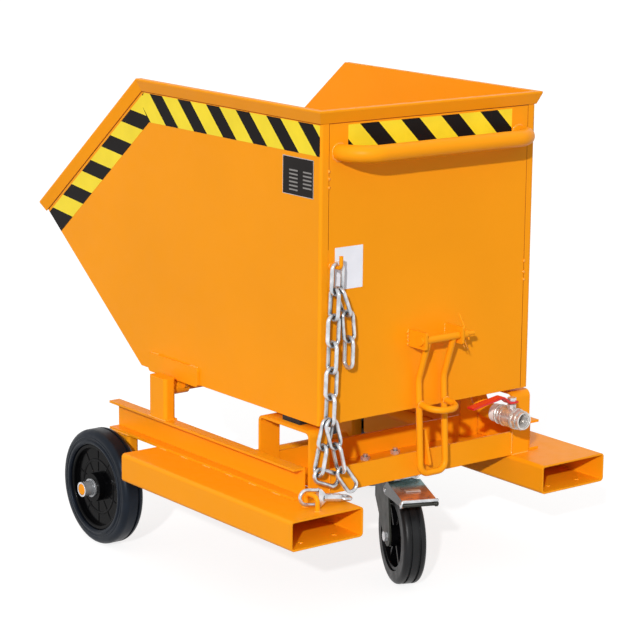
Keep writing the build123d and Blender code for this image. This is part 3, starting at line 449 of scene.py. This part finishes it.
TAPE_TOP = 972 * MM
TAPE_LOW = 912 * MM
TAPE_CUT = -147 * MM
CUT_LOW = 940 * MM
TAPE_END = 460 * MM
RIM_DEPTH = 33 * MM
TAPE_DEPTH = 92 * MM
EDGE_GAP = 1 * MM
slope_run = Vector((cos(SLOPE), sin(SLOPE)))
slope_across = Vector((sin(SLOPE), -cos(SLOPE)))
front_run = (Vector((KNEE_X, FLOOR_Z)) - Vector((LIP_X, LIP_Z))).normalized()


def slope_x(depth, height):
    """Where the line at a depth square to the sloped edge reaches a height."""
    start = Vector((KNEE_X, TOP_Z)) + slope_across * depth
    return start.x + (height - start.y) * slope_run.x / slope_run.y


def lip_point(depth):
    """Where the line at a depth square to the sloped edge meets the panel's front edge."""
    return Vector((LIP_X, LIP_Z)) + front_run * (depth / front_run.dot(slope_across))


lip_upper = lip_point(RIM_DEPTH)
lip_lower = lip_point(TAPE_DEPTH)
slope_outline = [
    (lip_upper.x + EDGE_GAP, lip_upper.y),
    (lip_lower.x + EDGE_GAP, lip_lower.y),
    (slope_x(TAPE_DEPTH, TAPE_LOW), TAPE_LOW),
    (TAPE_CUT, CUT_LOW),
    (TAPE_CUT, TAPE_TOP),
    (slope_x(RIM_DEPTH, TAPE_TOP), TAPE_TOP),
]
top_outline = [
    (slope_x(TAPE_DEPTH, TAPE_LOW), TAPE_LOW),
    (TAPE_END, TAPE_LOW),
    (TAPE_END, TAPE_TOP),
    (TAPE_CUT, TAPE_TOP),
    (TAPE_CUT, CUT_LOW),
]
TOP_BAR = (-121.8 * MM, TAPE_TOP)
SLOPE_BAR = (-310.9 * MM, 838.2 * MM)
BLACK_END = -2.5 * BAR_PERIOD
for side, sign in (("left", -1), ("right", 1)):
    def on_side(u, v, sign=sign):
        return (u, sign * HALF_WIDTH, v)
    node = f"hazard_tape_{side}"
    tape(f"hazard_tape_top_{side}", top_outline, (1, 0), TOP_BAR, on_side, (0, sign, 0), node)
    tape(f"hazard_tape_slope_{side}", slope_outline, slope_run, SLOPE_BAR, on_side, (0, sign, 0), node,
         black_before=BLACK_END)

REAR_LEFT = -210 * MM
REAR_RIGHT = 212 * MM
REAR_TOP = 969.5 * MM
REAR_LOW = 923 * MM
REAR_BAR = (-181.8 * MM, REAR_TOP)
rear_outline = [
    (REAR_LEFT, REAR_LOW),
    (REAR_RIGHT, REAR_LOW),
    (REAR_RIGHT, REAR_TOP),
    (REAR_LEFT, REAR_TOP),
]


def on_rear(u, v):
    return (WALL_X, u, v)


tape("hazard_tape_back", rear_outline, (1, 0), REAR_BAR, on_rear, (1, 0, 0), "hazard_tape_rear")


# Weld beads, painted over with the steel they join
WELD_STEP = 1.3 * MM
WELD_SIDES = 8
WELD_ENDS = ((0, 0.4), (1, 0.8), (-2, 0.8), (-1, 0.4))
RIPPLE = 0.16
RIPPLE_PITCH = 4.2 * MM
chance = random.Random(7)


def resampled(path):
    """The same path with points at about one step from each other."""
    points = [Vector(p) for p in path]
    fine = []
    for start, end in zip(points, points[1:]):
        steps = max(1, round((end - start).length / WELD_STEP))
        fine += [start.lerp(end, i / steps) for i in range(steps)]
    return fine + [points[-1]]


def add_weld(mesh, path, radius, closed=False):
    """Bead with ripples along it, thinner at its ends."""
    points = resampled(path)
    if closed:
        points.pop()
    radii = []
    for i in range(len(points)):
        wave = sin(2 * pi * i * WELD_STEP / RIPPLE_PITCH)
        radii.append(radius * (1 + RIPPLE * wave + chance.uniform(-RIPPLE, RIPPLE) / 2))
    if not closed:
        for i, share in WELD_ENDS:
            radii[i] = radius * share
    add_rod(mesh, points, radii, sides=WELD_SIDES, closed=closed)


def ring(origin, axis, radius, count=48):
    """Points of a closed circle, the first one repeated at the end."""
    place = along(axis, origin)
    turns = [2 * pi * k / count for k in range(count + 1)]
    return [place @ Vector((radius * cos(t), radius * sin(t), 0)) for t in turns]


def box_path(low_x, high_x, low_y, high_y, z):
    """Closed rectangle at a height."""
    corners = [(low_x, low_y), (high_x, low_y), (high_x, high_y), (low_x, high_y), (low_x, low_y)]
    return [(x, y, z) for x, y in corners]


def add_spot(mesh, x, y, low, length, radius):
    """Short upright weld."""
    start = Vector((x, y, low))
    add_weld(mesh, [start, start + Vector((0, 0, length))], radius)


HANDLE_Y = 231 * MM
HANDLE_Z = 918 * MM
HANDLE_R = 17.2 * MM
SEAM_Y = 256 * MM
BRACKET_Z = (513 * MM, 547 * MM)
BRACKET_FACES = (44.6 * MM, 51.4 * MM)
DOUBLER_X = (-125.5 * MM, 58.5 * MM)
DOUBLER_Y = HALF_WIDTH + 1 * MM
DOUBLER_TOP = 418 * MM
DOUBLER_STITCH = 34 * MM
DRAIN_X = 406.5 * MM
DRAIN_Y = 190 * MM
DRAIN_R = 17.4 * MM
PIVOT_X = -30.5 * MM
LUG_HALF = 35 * MM
LUG_FACES = (257.6 * MM, 266.4 * MM)
HOOK_Y = -249 * MM
HOOK_Z = 698 * MM
HOOK_R = 4.6 * MM
SMALL_BEAD = 1.8 * MM
BEAD = 2.2 * MM
WIDE_BEAD = 2.4 * MM
SMALL_RING = 20

# Weld spots as their lowest heights in millimetres: on the bracket's cheek, and by side on the rear corners
CHEEK_X = WALL_X + 1 * MM
CHEEK_OUT = 53 * MM
CHEEK_SPOTS = (515, 523, 531, 539)
CHEEK_SPOT = (5 * MM, 4.2 * MM)
CORNER_SPOTS = ((-1, 879), (-1, 865), (-1, 848), (1, 648), (1, 625), (1, 609))
CORNER_SPOT = (6.5 * MM, 3.0 * MM)

tub_welds = bmesh.new()
for sign in (-1, 1):
    add_weld(tub_welds, ring((WALL_X, sign * HANDLE_Y, HANDLE_Z), (1, 0, 0), HANDLE_R), BEAD, closed=True)
    for y in BRACKET_FACES:
        add_weld(tub_welds, [(WALL_X, sign * y, z) for z in BRACKET_Z], WIDE_BEAD)
    for start, run in ((DOUBLER_X[0], DOUBLER_STITCH), (DOUBLER_X[1], -DOUBLER_STITCH)):
        stitch = [(x, sign * DOUBLER_Y, DOUBLER_TOP) for x in (start + run / 6, start + run)]
        add_weld(tub_welds, stitch, BEAD)
    for y in LUG_FACES:
        add_weld(tub_welds, [(PIVOT_X + x, sign * y, FLOOR_Z) for x in (-LUG_HALF, LUG_HALF)], WIDE_BEAD)
for low in CHEEK_SPOTS:
    add_spot(tub_welds, CHEEK_X, -CHEEK_OUT, low * MM, *CHEEK_SPOT)
for sign, low in CORNER_SPOTS:
    add_spot(tub_welds, WALL_X, sign * SEAM_Y, low * MM, *CORNER_SPOT)
hook_ring = ring((WALL_X, HOOK_Y, HOOK_Z), (1, 0, 0), HOOK_R, SMALL_RING)
add_weld(tub_welds, hook_ring, SMALL_BEAD, closed=True)
add_weld(tub_welds, ring((DRAIN_X, DRAIN_Y, FLOOR_Z), (0, 0, 1), DRAIN_R), BEAD, closed=True)
piece("tub_welds", finished(tub_welds), "tub", "orange_paint", [weld_coat], smooth=True)

# Painted shade: dark lines for the shadow under the rim bars and for the shade in the gaps down the rear
# corners
SHADE_LINE_R = 1.1 * MM
CORNER_SHADE_R = 0.5 * MM
SHADE_LINE_SIDES = 8
RIM_LOW = 26.6 * MM
RIM_SHADE_Z = TOP_Z - RIM_LOW
RIM_SHADE_X = WALL_X - 3 * MM
LIP_BACK = 2 * MM
CORNER_SHADE_LINES = ((-SEAM_Y, 730 * MM), (SEAM_Y, 384 * MM))
CORNER_SHADE_TOP = 974 * MM
rim_turn = (KNEE_X + RIM_LOW * tan(SLOPE / 2), RIM_SHADE_Z)
rim_lip = tuple(lip_point(RIM_LOW) + slope_run * LIP_BACK)
shade_lines = bmesh.new()
for sign in (-1, 1):
    rim_shade_line = [(x, sign * HALF_WIDTH, z) for x, z in ((RIM_SHADE_X, RIM_SHADE_Z), rim_turn, rim_lip)]
    add_rod(shade_lines, rim_shade_line, [SHADE_LINE_R] * len(rim_shade_line), sides=SHADE_LINE_SIDES)
rear_shade_line = [(WALL_X, sign * SEAM_Y, RIM_SHADE_Z) for sign in (-1, 1)]
add_rod(shade_lines, rear_shade_line, [SHADE_LINE_R] * len(rear_shade_line), sides=SHADE_LINE_SIDES)
for y, low in CORNER_SHADE_LINES:
    add_rod(shade_lines, [(WALL_X, y, z) for z in (low, CORNER_SHADE_TOP)], [CORNER_SHADE_R] * 2, sides=SHADE_LINE_SIDES)
piece("tub_shade_lines", finished(shade_lines), "tub", "orange_paint", [painted_gap_shade], smooth=True)

# Beads of the chassis: posts, stands, stitches along the channels (starts in millimetres), chain eye, catch
POST_OUT = 324 * MM
AXLE_X = -172.5 * MM
POST_HALF = 31.4 * MM
STAND_X = (WALL_X - 7 * MM, WALL_X - 177 * MM)
STAND_IN = 242 * MM
STAND_OUT = 291 * MM
BEAM_TOP = 287 * MM
EYE_X = WALL_X + 51 * MM
EYE_HALF = 18.5 * MM
EYE_Y = -330 * MM
EYE_R = 5 * MM
EYE_BEAD = 1.9 * MM
CATCH_Y = 3.4 * MM
CATCH_Z = (262 * MM, 286 * MM)
CATCH_BEAD = 2.0 * MM
POST_BEAD = 2.3 * MM
POST_GAP = 0.4 * MM
STAND_BEAD = 2.6 * MM
STITCHES = (-20, 60, 140, 220, 300, 380)
STITCH = 26 * MM
STITCH_Y = CHANNEL_IN + 29 * MM

chassis_welds = bmesh.new()
for sign in (-1, 1):
    low_y, high_y = sorted((sign * (CHANNEL_IN - POST_GAP), sign * (POST_OUT + POST_GAP)))
    for x, z in ((PIVOT_X, CHANNEL_TOP), (AXLE_X, POCKET_TOP)):
        foot = box_path(x - POST_HALF, x + POST_HALF, low_y, high_y, z)
        add_weld(chassis_welds, foot, POST_BEAD, closed=True)
    for x in STAND_X:
        add_weld(chassis_welds, [(x, sign * y, POCKET_TOP) for y in (STAND_IN, STAND_OUT)], STAND_BEAD)
    add_weld(chassis_welds, [(STAND_X[0], sign * STAND_IN, z) for z in (POCKET_TOP, BEAM_TOP)], BEAD)
    for start in STITCHES:
        begin = Vector((start * MM, sign * STITCH_Y, POCKET_TOP))
        add_weld(chassis_welds, [begin, begin + Vector((STITCH, 0, 0))], POST_BEAD)
for x in (EYE_X - EYE_HALF, EYE_X + EYE_HALF):
    eye_ring = ring((x, EYE_Y, POCKET_TOP), (0, 0, 1), EYE_R, SMALL_RING)
    add_weld(chassis_welds, eye_ring, EYE_BEAD, closed=True)
for y in (-CATCH_Y, CATCH_Y):
    add_weld(chassis_welds, [(STAND_X[0], y, z) for z in CATCH_Z], CATCH_BEAD)
piece("chassis_welds", finished(chassis_welds), "chassis", "orange_paint", [weld_coat], smooth=True)

# Low studs on the floors of the fork pockets, two near each rear end
STUD_X = 527 * MM
STUD_Y = (284 * MM, 366 * MM)
STUD_R = 6 * MM
STUD_HEIGHTS = (2.0 * MM, 1.7 * MM, 0.8 * MM)
POCKET_FLOOR = 179 * MM
DOME_SUNK = 0.5 * MM
DOME_CORE = 0.2 * MM
DOME_SIDES = 24


def dome(radius, heights):
    """Profile of a low rounded head with the heights of its crown, shoulder and side."""
    crown, shoulder, side = heights
    return [
        (-DOME_SUNK, DOME_CORE),
        (crown, DOME_CORE),
        (shoulder, 0.5 * radius),
        (side, 0.9 * radius),
        (-DOME_SUNK, radius),
    ]


studs = bmesh.new()
for sign in (-1, 1):
    for y in STUD_Y:
        place = along((0, 0, 1), (STUD_X, sign * y, POCKET_FLOOR))
        add_lathe(studs, dome(STUD_R, STUD_HEIGHTS), place, DOME_SIDES)
piece("pocket_studs", finished(studs), "chassis", "orange_paint", [weld_coat], smooth=True)

# Beads where the pull loop meets the bail
PULL_X = 485.7 * MM
PULL_Y = 33 * MM
PULL_Z = 393.5 * MM
PULL_WAY = (0.993, 0, -0.117)
PULL_R = 6.8 * MM
PULL_RING = 24
latch_welds = bmesh.new()
for sign in (-1, 1):
    pull_ring = ring((PULL_X, sign * PULL_Y, PULL_Z), PULL_WAY, PULL_R, PULL_RING)
    add_weld(latch_welds, pull_ring, SMALL_BEAD, closed=True)
piece("latch_welds", finished(latch_welds), "latch", "orange_paint", [weld_coat], smooth=True)


# Nameplate left blank: a thin pale outline and two columns of plain bars on the dark film
PLATE_X = 392.5 * MM
PLATE_Z = 865 * MM
PLATE_HALF = (49 * MM, 37.5 * MM)
OUTLINE = 1.0 * MM
BAR_COLUMNS = ((21, 48, 6), (65, 92, 5))
BAR_TOP = 25 * MM
BAR_PITCH = 7.6 * MM
BAR_HEIGHT = 3.0 * MM
PRINT = 0.12 * MM


def add_panel(mesh, low_x, high_x, low_z, high_z):
    """Raised print on the nameplate."""
    y = -HALF_WIDTH - FILM
    corners = ((low_x, low_z), (high_x, low_z), (high_x, high_z), (low_x, high_z))
    add_rings(mesh, [[(x, y + depth, z) for x, z in corners] for depth in (0, -PRINT)])


plate_print = bmesh.new()
half_x, half_z = PLATE_HALF
for sign in (-1, 1):
    edges = sorted((sign * half_z, sign * (half_z - OUTLINE)))
    add_panel(plate_print, PLATE_X - half_x, PLATE_X + half_x, PLATE_Z + edges[0], PLATE_Z + edges[1])
    edges = sorted((sign * half_x, sign * (half_x - OUTLINE)))
    inner = half_z - OUTLINE
    add_panel(plate_print, PLATE_X + edges[0], PLATE_X + edges[1], PLATE_Z - inner, PLATE_Z + inner)
plate_bars = bmesh.new()
for first, last, rows in BAR_COLUMNS:
    for row in range(rows):
        high_z = PLATE_Z + half_z - BAR_TOP - row * BAR_PITCH
        left_x = PLATE_X - half_x
        add_panel(plate_bars, left_x + first * MM, left_x + last * MM, high_z - BAR_HEIGHT, high_z)
piece("nameplate_outline", finished(plate_print), "tub", "plate_film", [plate_pale])
piece("nameplate_bars", finished(plate_bars), "tub", "plate_film", [plate_grey])


# Turned bands on the valve body
VALVE_X = 475.5 * MM
VALVE_Z = 338 * MM
VALVE_R = 21 * MM
NECK_R = 19 * MM
VALVE_SIDES = 56
BAND_SUNK = 0.4 * MM

# Each band as its start and width in millimetres, the radius it stands on and its rise in millimetres
BANDS = (
    (1, 5, NECK_R, 2.2),
    (9, 4, NECK_R, 1.6),
    (15, 7, VALVE_R, 1.0),
    (47, 4, VALVE_R, 0.9),
    (52, 3, VALVE_R, 0.9),
)


def band(start, width, radius, rise):
    """Profile of a rounded band round a turned body."""
    return [
        (start, radius - BAND_SUNK),
        (start, radius + 0.5 * rise),
        (start + 0.25 * width, radius + rise),
        (start + 0.75 * width, radius + rise),
        (start + width, radius + 0.5 * rise),
        (start + width, radius - BAND_SUNK),
    ]


valve_bands = bmesh.new()
valve_place = along((1, 0, 0), (VALVE_X, DRAIN_Y, VALVE_Z))
for start, width, radius, rise in BANDS:
    add_lathe(valve_bands, band(start * MM, width * MM, radius, rise * MM), valve_place, VALVE_SIDES)
piece("valve_bands", finished(valve_bands), "tub", "nickel_brass")

# Thread of the outlet, as rings
OUTLET_START = 57 * MM
OUTLET_R = 15.15 * MM
THREAD_PITCH = 2.6 * MM
THREAD_COUNT = 6
THREAD_ROOT = OUTLET_R + 0.3 * MM
THREAD_CREST = OUTLET_R - 1.2 * MM
outlet_threads = bmesh.new()
for k in range(THREAD_COUNT):
    start = OUTLET_START + k * THREAD_PITCH
    crest = [
        (start, THREAD_ROOT),
        (start + 0.4 * THREAD_PITCH, THREAD_CREST),
        (start + 0.8 * THREAD_PITCH, THREAD_ROOT),
    ]
    add_lathe(outlet_threads, crest, valve_place, VALVE_SIDES)
piece("outlet_threads", finished(outlet_threads), "tub", "nickel_brass")


# Front wheels: bead rings of the tyre, a ring and radial ribs on the disc
WHEEL_Y = 369 * MM
WHEEL_Z = 125 * MM
WHEEL_SIDES = 96
TYRE_FACE = 25 * MM
DISC_FACE = 12 * MM
DISC_RIBS = 10
BEAD_STEPS = 8
BEAD_SUNK = 1 * MM

# Rings as radius, width and rise; each rib as its distances from the axle and its radii there
TYRE_RINGS = ((99 * MM, 7 * MM, 2.4 * MM), (108 * MM, 3 * MM, 0.9 * MM))
DISC_RING = (58 * MM, 6 * MM, 1.4 * MM)
RIB_REACH = (34 * MM, 37 * MM, 78 * MM, 82 * MM)
RIB_RADII = (0.7 * MM, 1.4 * MM, 1.4 * MM, 0.7 * MM)


def bead(radius, width, rise, base):
    """Rounded ring that stands on a wheel's side."""
    arc = [pi * k / BEAD_STEPS for k in range(BEAD_STEPS + 1)]
    profile = [(base + rise * sin(a), radius + width / 2 * cos(a)) for a in arc]
    return profile + [(base - BEAD_SUNK, radius - width / 2), (base - BEAD_SUNK, radius + width / 2)]


for side, sign in (("left", -1), ("right", 1)):
    place = along((0, sign, 0), (AXLE_X, sign * WHEEL_Y, WHEEL_Z))
    rings = bmesh.new()
    for size in TYRE_RINGS:
        add_lathe(rings, bead(*size, TYRE_FACE), place, WHEEL_SIDES)
    piece(f"tyre_beads_{side}", finished(rings), f"front_wheel_{side}", "tyre_rubber", smooth=True)

    ribs = bmesh.new()
    add_lathe(ribs, bead(*DISC_RING, DISC_FACE), place, WHEEL_SIDES)
    for k in range(DISC_RIBS):
        turn = 2 * pi * (k + 0.5) / DISC_RIBS
        way = Vector((cos(turn), sin(turn), 0))
        path = [place @ (way * reach + Vector((0, 0, DISC_FACE))) for reach in RIB_REACH]
        add_rod(ribs, path, RIB_RADII)
    piece(f"disc_ribs_{side}", finished(ribs), f"front_wheel_{side}", "wheel_plastic", smooth=True)


# Castor: swivel race, and on the pedal a lip, the roll below it, the cap of its bar and the hinge's rivets
KING_X = 371.5 * MM
castor_place = Matrix.Translation((KING_X, 0, 0)) @ Matrix.Rotation(CASTOR_TURN, 4, "Z")
RACE_R = 45.6 * MM
RACE_Z = 213 * MM
RACE_STEPS = ((0, 0), (1, 3.4), (5, 4.6), (9, 4.2), (13, 2.6), (15, 0))
RACE_SIDES = 64
race = bmesh.new()
race_profile = [(z * MM, RACE_R + r * MM) for z, r in RACE_STEPS]
add_lathe(race, race_profile, castor_place @ Matrix.Translation((0, 0, RACE_Z)), RACE_SIDES)
piece("swivel_race", finished(race), "castor", "zinc_steel", smooth=True)

PEDAL_HINGE = (40 * MM, 0, 196 * MM)
PEDAL_TILT = radians(5)
pedal_place = castor_place @ Matrix.Translation(PEDAL_HINGE) @ Matrix.Rotation(PEDAL_TILT, 4, "Y")
PEDAL_END = 123 * MM
PEDAL_TOP = 23.4 * MM
PEDAL_HALF = 36 * MM
PEDAL_LIP_R = 3.6 * MM
PEDAL_LIP_Z = PEDAL_TOP - 0.6 * PEDAL_LIP_R
PEDAL_LIP_SIDES = 14
PEDAL_LIP_SHARES = (0.7, 1, 1, 1, 1, 0.6)


def on_pedal(points):
    """Points of the pedal's own frame, placed in the scene."""
    return [pedal_place @ Vector(p) for p in points]


# The lip hooks down at its left end and runs past the plate at its right end
lip_path = on_pedal([
    (PEDAL_END, -PEDAL_HALF - 2 * MM, PEDAL_LIP_Z - 13 * MM),
    (PEDAL_END, -PEDAL_HALF - 2 * MM, PEDAL_LIP_Z - 4 * MM),
    (PEDAL_END, -PEDAL_HALF + 1 * MM, PEDAL_LIP_Z),
    (PEDAL_END, 0, PEDAL_LIP_Z),
    (PEDAL_END, PEDAL_HALF + 2 * MM, PEDAL_LIP_Z),
    (PEDAL_END, PEDAL_HALF + 4 * MM, PEDAL_LIP_Z),
])
lip = bmesh.new()
add_rod(lip, lip_path, [share * PEDAL_LIP_R for share in PEDAL_LIP_SHARES], sides=PEDAL_LIP_SIDES)
piece("pedal_lip", finished(lip), "brake", "pedal_plate", [looks["zinc_steel"]], smooth=True)

ROLL_R = 4.2 * MM
ROLL_X = PEDAL_END - 2 * MM
ROLL_Z = PEDAL_TOP - 10.5 * MM
ROLL_SIDES = 16
ROLL_STEPS = ((-35, 0.7), (-34, 1), (30, 1), (33, 1), (34, 1.4), (39, 1.4), (41, 0.8))
roll = bmesh.new()
roll_path = on_pedal([(ROLL_X, y * MM, ROLL_Z) for y, share in ROLL_STEPS])
add_rod(roll, roll_path, [share * ROLL_R for y, share in ROLL_STEPS], sides=ROLL_SIDES)
piece("pedal_roll", finished(roll), "brake", "fork_steel", smooth=True)

# Cap of the bar as rings of half length, half width and height in millimetres
BAR_X = 75.5 * MM
CAP_RINGS = ((5.4, 15.8, 24.2), (5.4, 15.8, 25.8), (4.4, 14.8, 26.4))
bar_cap = bmesh.new()
cap_rings = []
for half_x, half_y, z in CAP_RINGS:
    corners = ((-half_x, -half_y), (half_x, -half_y), (half_x, half_y), (-half_x, half_y))
    cap_rings.append(on_pedal([(BAR_X + x * MM, y * MM, z * MM) for x, y in corners]))
add_rings(bar_cap, cap_rings)
piece("pedal_bar_cap", finished(bar_cap), "brake", "pedal_plate", [looks["zinc_steel"]])

RIVET_R = 5 * MM
RIVET_HEIGHTS = (2.4 * MM, 2.0 * MM, 1.0 * MM)
rivets = bmesh.new()
for sign in (-1, 1):
    place = pedal_place @ along((0, sign, 0), (0, sign * PEDAL_HALF, 0))
    add_lathe(rivets, dome(RIVET_R, RIVET_HEIGHTS), place, DOME_SIDES)
piece("pedal_rivets", finished(rivets), "brake", "pedal_plate", [looks["zinc_steel"]], smooth=True)


# Spread legs of the split pins on the latch pin, painted over
PIN_X = 505.5 * MM
PIN_Z = 530 * MM
WIRE_R = 1.1 * MM
WIRE_SIDES = 8
PIN_LEGS = (
    ((0, 60, -8), (1, 63, -18), (3, 68, -32)),
    ((0, 56, -8), (2, 56, -20), (5, 58, -27)),
)
pin_wires = bmesh.new()
for leg in PIN_LEGS:
    points = [(PIN_X + x * MM, y * MM, PIN_Z + z * MM) for x, y, z in leg]
    add_rod(pin_wires, points, [WIRE_R] * len(points), sides=WIRE_SIDES)
piece("split_pin_legs", finished(pin_wires), "tub", "orange_paint", [weld_coat], smooth=True)


# Floor, light and camera


def light_path_sum(nodes, links, names):
    """Highest of the chosen ray kinds, 1 where the ray is one of them."""
    path = nodes.new("ShaderNodeLightPath")
    total = path.outputs[names[0]]
    for name in names[1:]:
        step = nodes.new("ShaderNodeMath")
        step.operation = "MAXIMUM"
        links.new(total, step.inputs[0])
        links.new(path.outputs[name], step.inputs[1])
        total = step.outputs[0]
    return total


SEEN = ("Is Camera Ray", "Is Glossy Ray", "Is Transmission Ray")
FLOOR_GLOW = 0.79
FLOOR_TONE = 0.32
FLOOR_HALF = 30.0
FILL_LOW = 0.42
FILL_HIGH = 0.82
SUN_POWER = 2.45
SUN_SIZE = radians(1.5)
SUN_WAY = (0.633, -0.667, 0.393)

# Camera fitted to the photograph: its angles, its place in metres, and its focal length and width in pixels
AZIMUTH = radians(52.195)
ELEVATION = radians(12.582)
ROLL = radians(0.547)
CAMERA_PLACE = (3.9783, -3.0012, 1.5873)
FOCAL_PIXELS = 2358.4
WIDTH_PIXELS = 640
SENSOR = 36
CLIP_END = 100


def stage_floor():
    data = bpy.data.meshes.new("studio_floor")
    ways = ((-1, -1), (1, -1), (1, 1), (-1, 1))
    data.from_pydata([(x * FLOOR_HALF, y * FLOOR_HALF, 0) for x, y in ways], [], [(0, 1, 2, 3)])
    floor = bpy.data.objects.new("studio_floor", data)
    bpy.context.scene.collection.objects.link(floor)
    material = bpy.data.materials.new("floor_white")
    material.use_nodes = True
    nodes = material.node_tree.nodes
    links = material.node_tree.links
    nodes.clear()
    diffuse = nodes.new("ShaderNodeBsdfDiffuse")
    diffuse.inputs["Color"].default_value = (FLOOR_TONE, FLOOR_TONE, FLOOR_TONE, 1)
    glow = nodes.new("ShaderNodeEmission")
    strength = nodes.new("ShaderNodeMath")
    strength.operation = "MULTIPLY"
    strength.inputs[1].default_value = FLOOR_GLOW
    total = nodes.new("ShaderNodeAddShader")
    out = nodes.new("ShaderNodeOutputMaterial")
    links.new(light_path_sum(nodes, links, SEEN), strength.inputs[0])
    links.new(strength.outputs[0], glow.inputs["Strength"])
    links.new(diffuse.outputs[0], total.inputs[0])
    links.new(glow.outputs[0], total.inputs[1])
    links.new(total.outputs[0], out.inputs["Surface"])
    data.materials.append(material)
    floor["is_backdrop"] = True


def studio_world():
    world = bpy.data.worlds.new("studio")
    bpy.context.scene.world = world
    world.use_nodes = True
    nodes = world.node_tree.nodes
    links = world.node_tree.links
    nodes.clear()
    fill = nodes.new("ShaderNodeBackground")
    fill.inputs["Color"].default_value = (1.0, 1.0, 1.0, 1)
    direction = nodes.new("ShaderNodeTexCoord")
    parts = nodes.new("ShaderNodeSeparateXYZ")
    level = nodes.new("ShaderNodeMapRange")
    level.inputs["To Min"].default_value = FILL_LOW
    level.inputs["To Max"].default_value = FILL_HIGH
    links.new(direction.outputs["Generated"], parts.inputs[0])
    links.new(parts.outputs["Z"], level.inputs["Value"])
    links.new(level.outputs["Result"], fill.inputs["Strength"])
    white = nodes.new("ShaderNodeBackground")
    white.inputs["Color"].default_value = (1, 1, 1, 1)
    white.inputs["Strength"].default_value = 1.0
    mix = nodes.new("ShaderNodeMixShader")
    out = nodes.new("ShaderNodeOutputWorld")
    links.new(light_path_sum(nodes, links, SEEN), mix.inputs["Fac"])
    links.new(fill.outputs[0], mix.inputs[1])
    links.new(white.outputs[0], mix.inputs[2])
    links.new(mix.outputs[0], out.inputs["Surface"])


def key_light():
    lamp = bpy.data.lights.new("key", "SUN")
    lamp.energy = SUN_POWER
    lamp.angle = SUN_SIZE
    item = bpy.data.objects.new("key", lamp)
    bpy.context.scene.collection.objects.link(item)
    item.rotation_euler = Vector(SUN_WAY).to_track_quat("Z", "Y").to_euler()


def camera():
    look = Vector((-sin(AZIMUTH) * cos(ELEVATION), cos(AZIMUTH) * cos(ELEVATION), -sin(ELEVATION)))
    right = Vector((cos(AZIMUTH), sin(AZIMUTH), 0))
    up = right.cross(look)
    turned_right = right * cos(ROLL) + up * sin(ROLL)
    turned_up = up * cos(ROLL) - right * sin(ROLL)
    data = bpy.data.cameras.new("camera")
    data.sensor_fit = "HORIZONTAL"
    data.sensor_width = SENSOR
    data.lens = FOCAL_PIXELS * SENSOR / WIDTH_PIXELS
    data.clip_end = CLIP_END
    item = bpy.data.objects.new("camera", data)
    bpy.context.scene.collection.objects.link(item)
    turn = Matrix((turned_right, turned_up, -look)).transposed().to_4x4()
    item.matrix_world = Matrix.Translation(CAMERA_PLACE) @ turn
    bpy.context.scene.camera = item


stage_floor()
studio_world()
key_light()
camera()
bpy.context.scene.view_settings.view_transform = "Standard"

low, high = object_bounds()
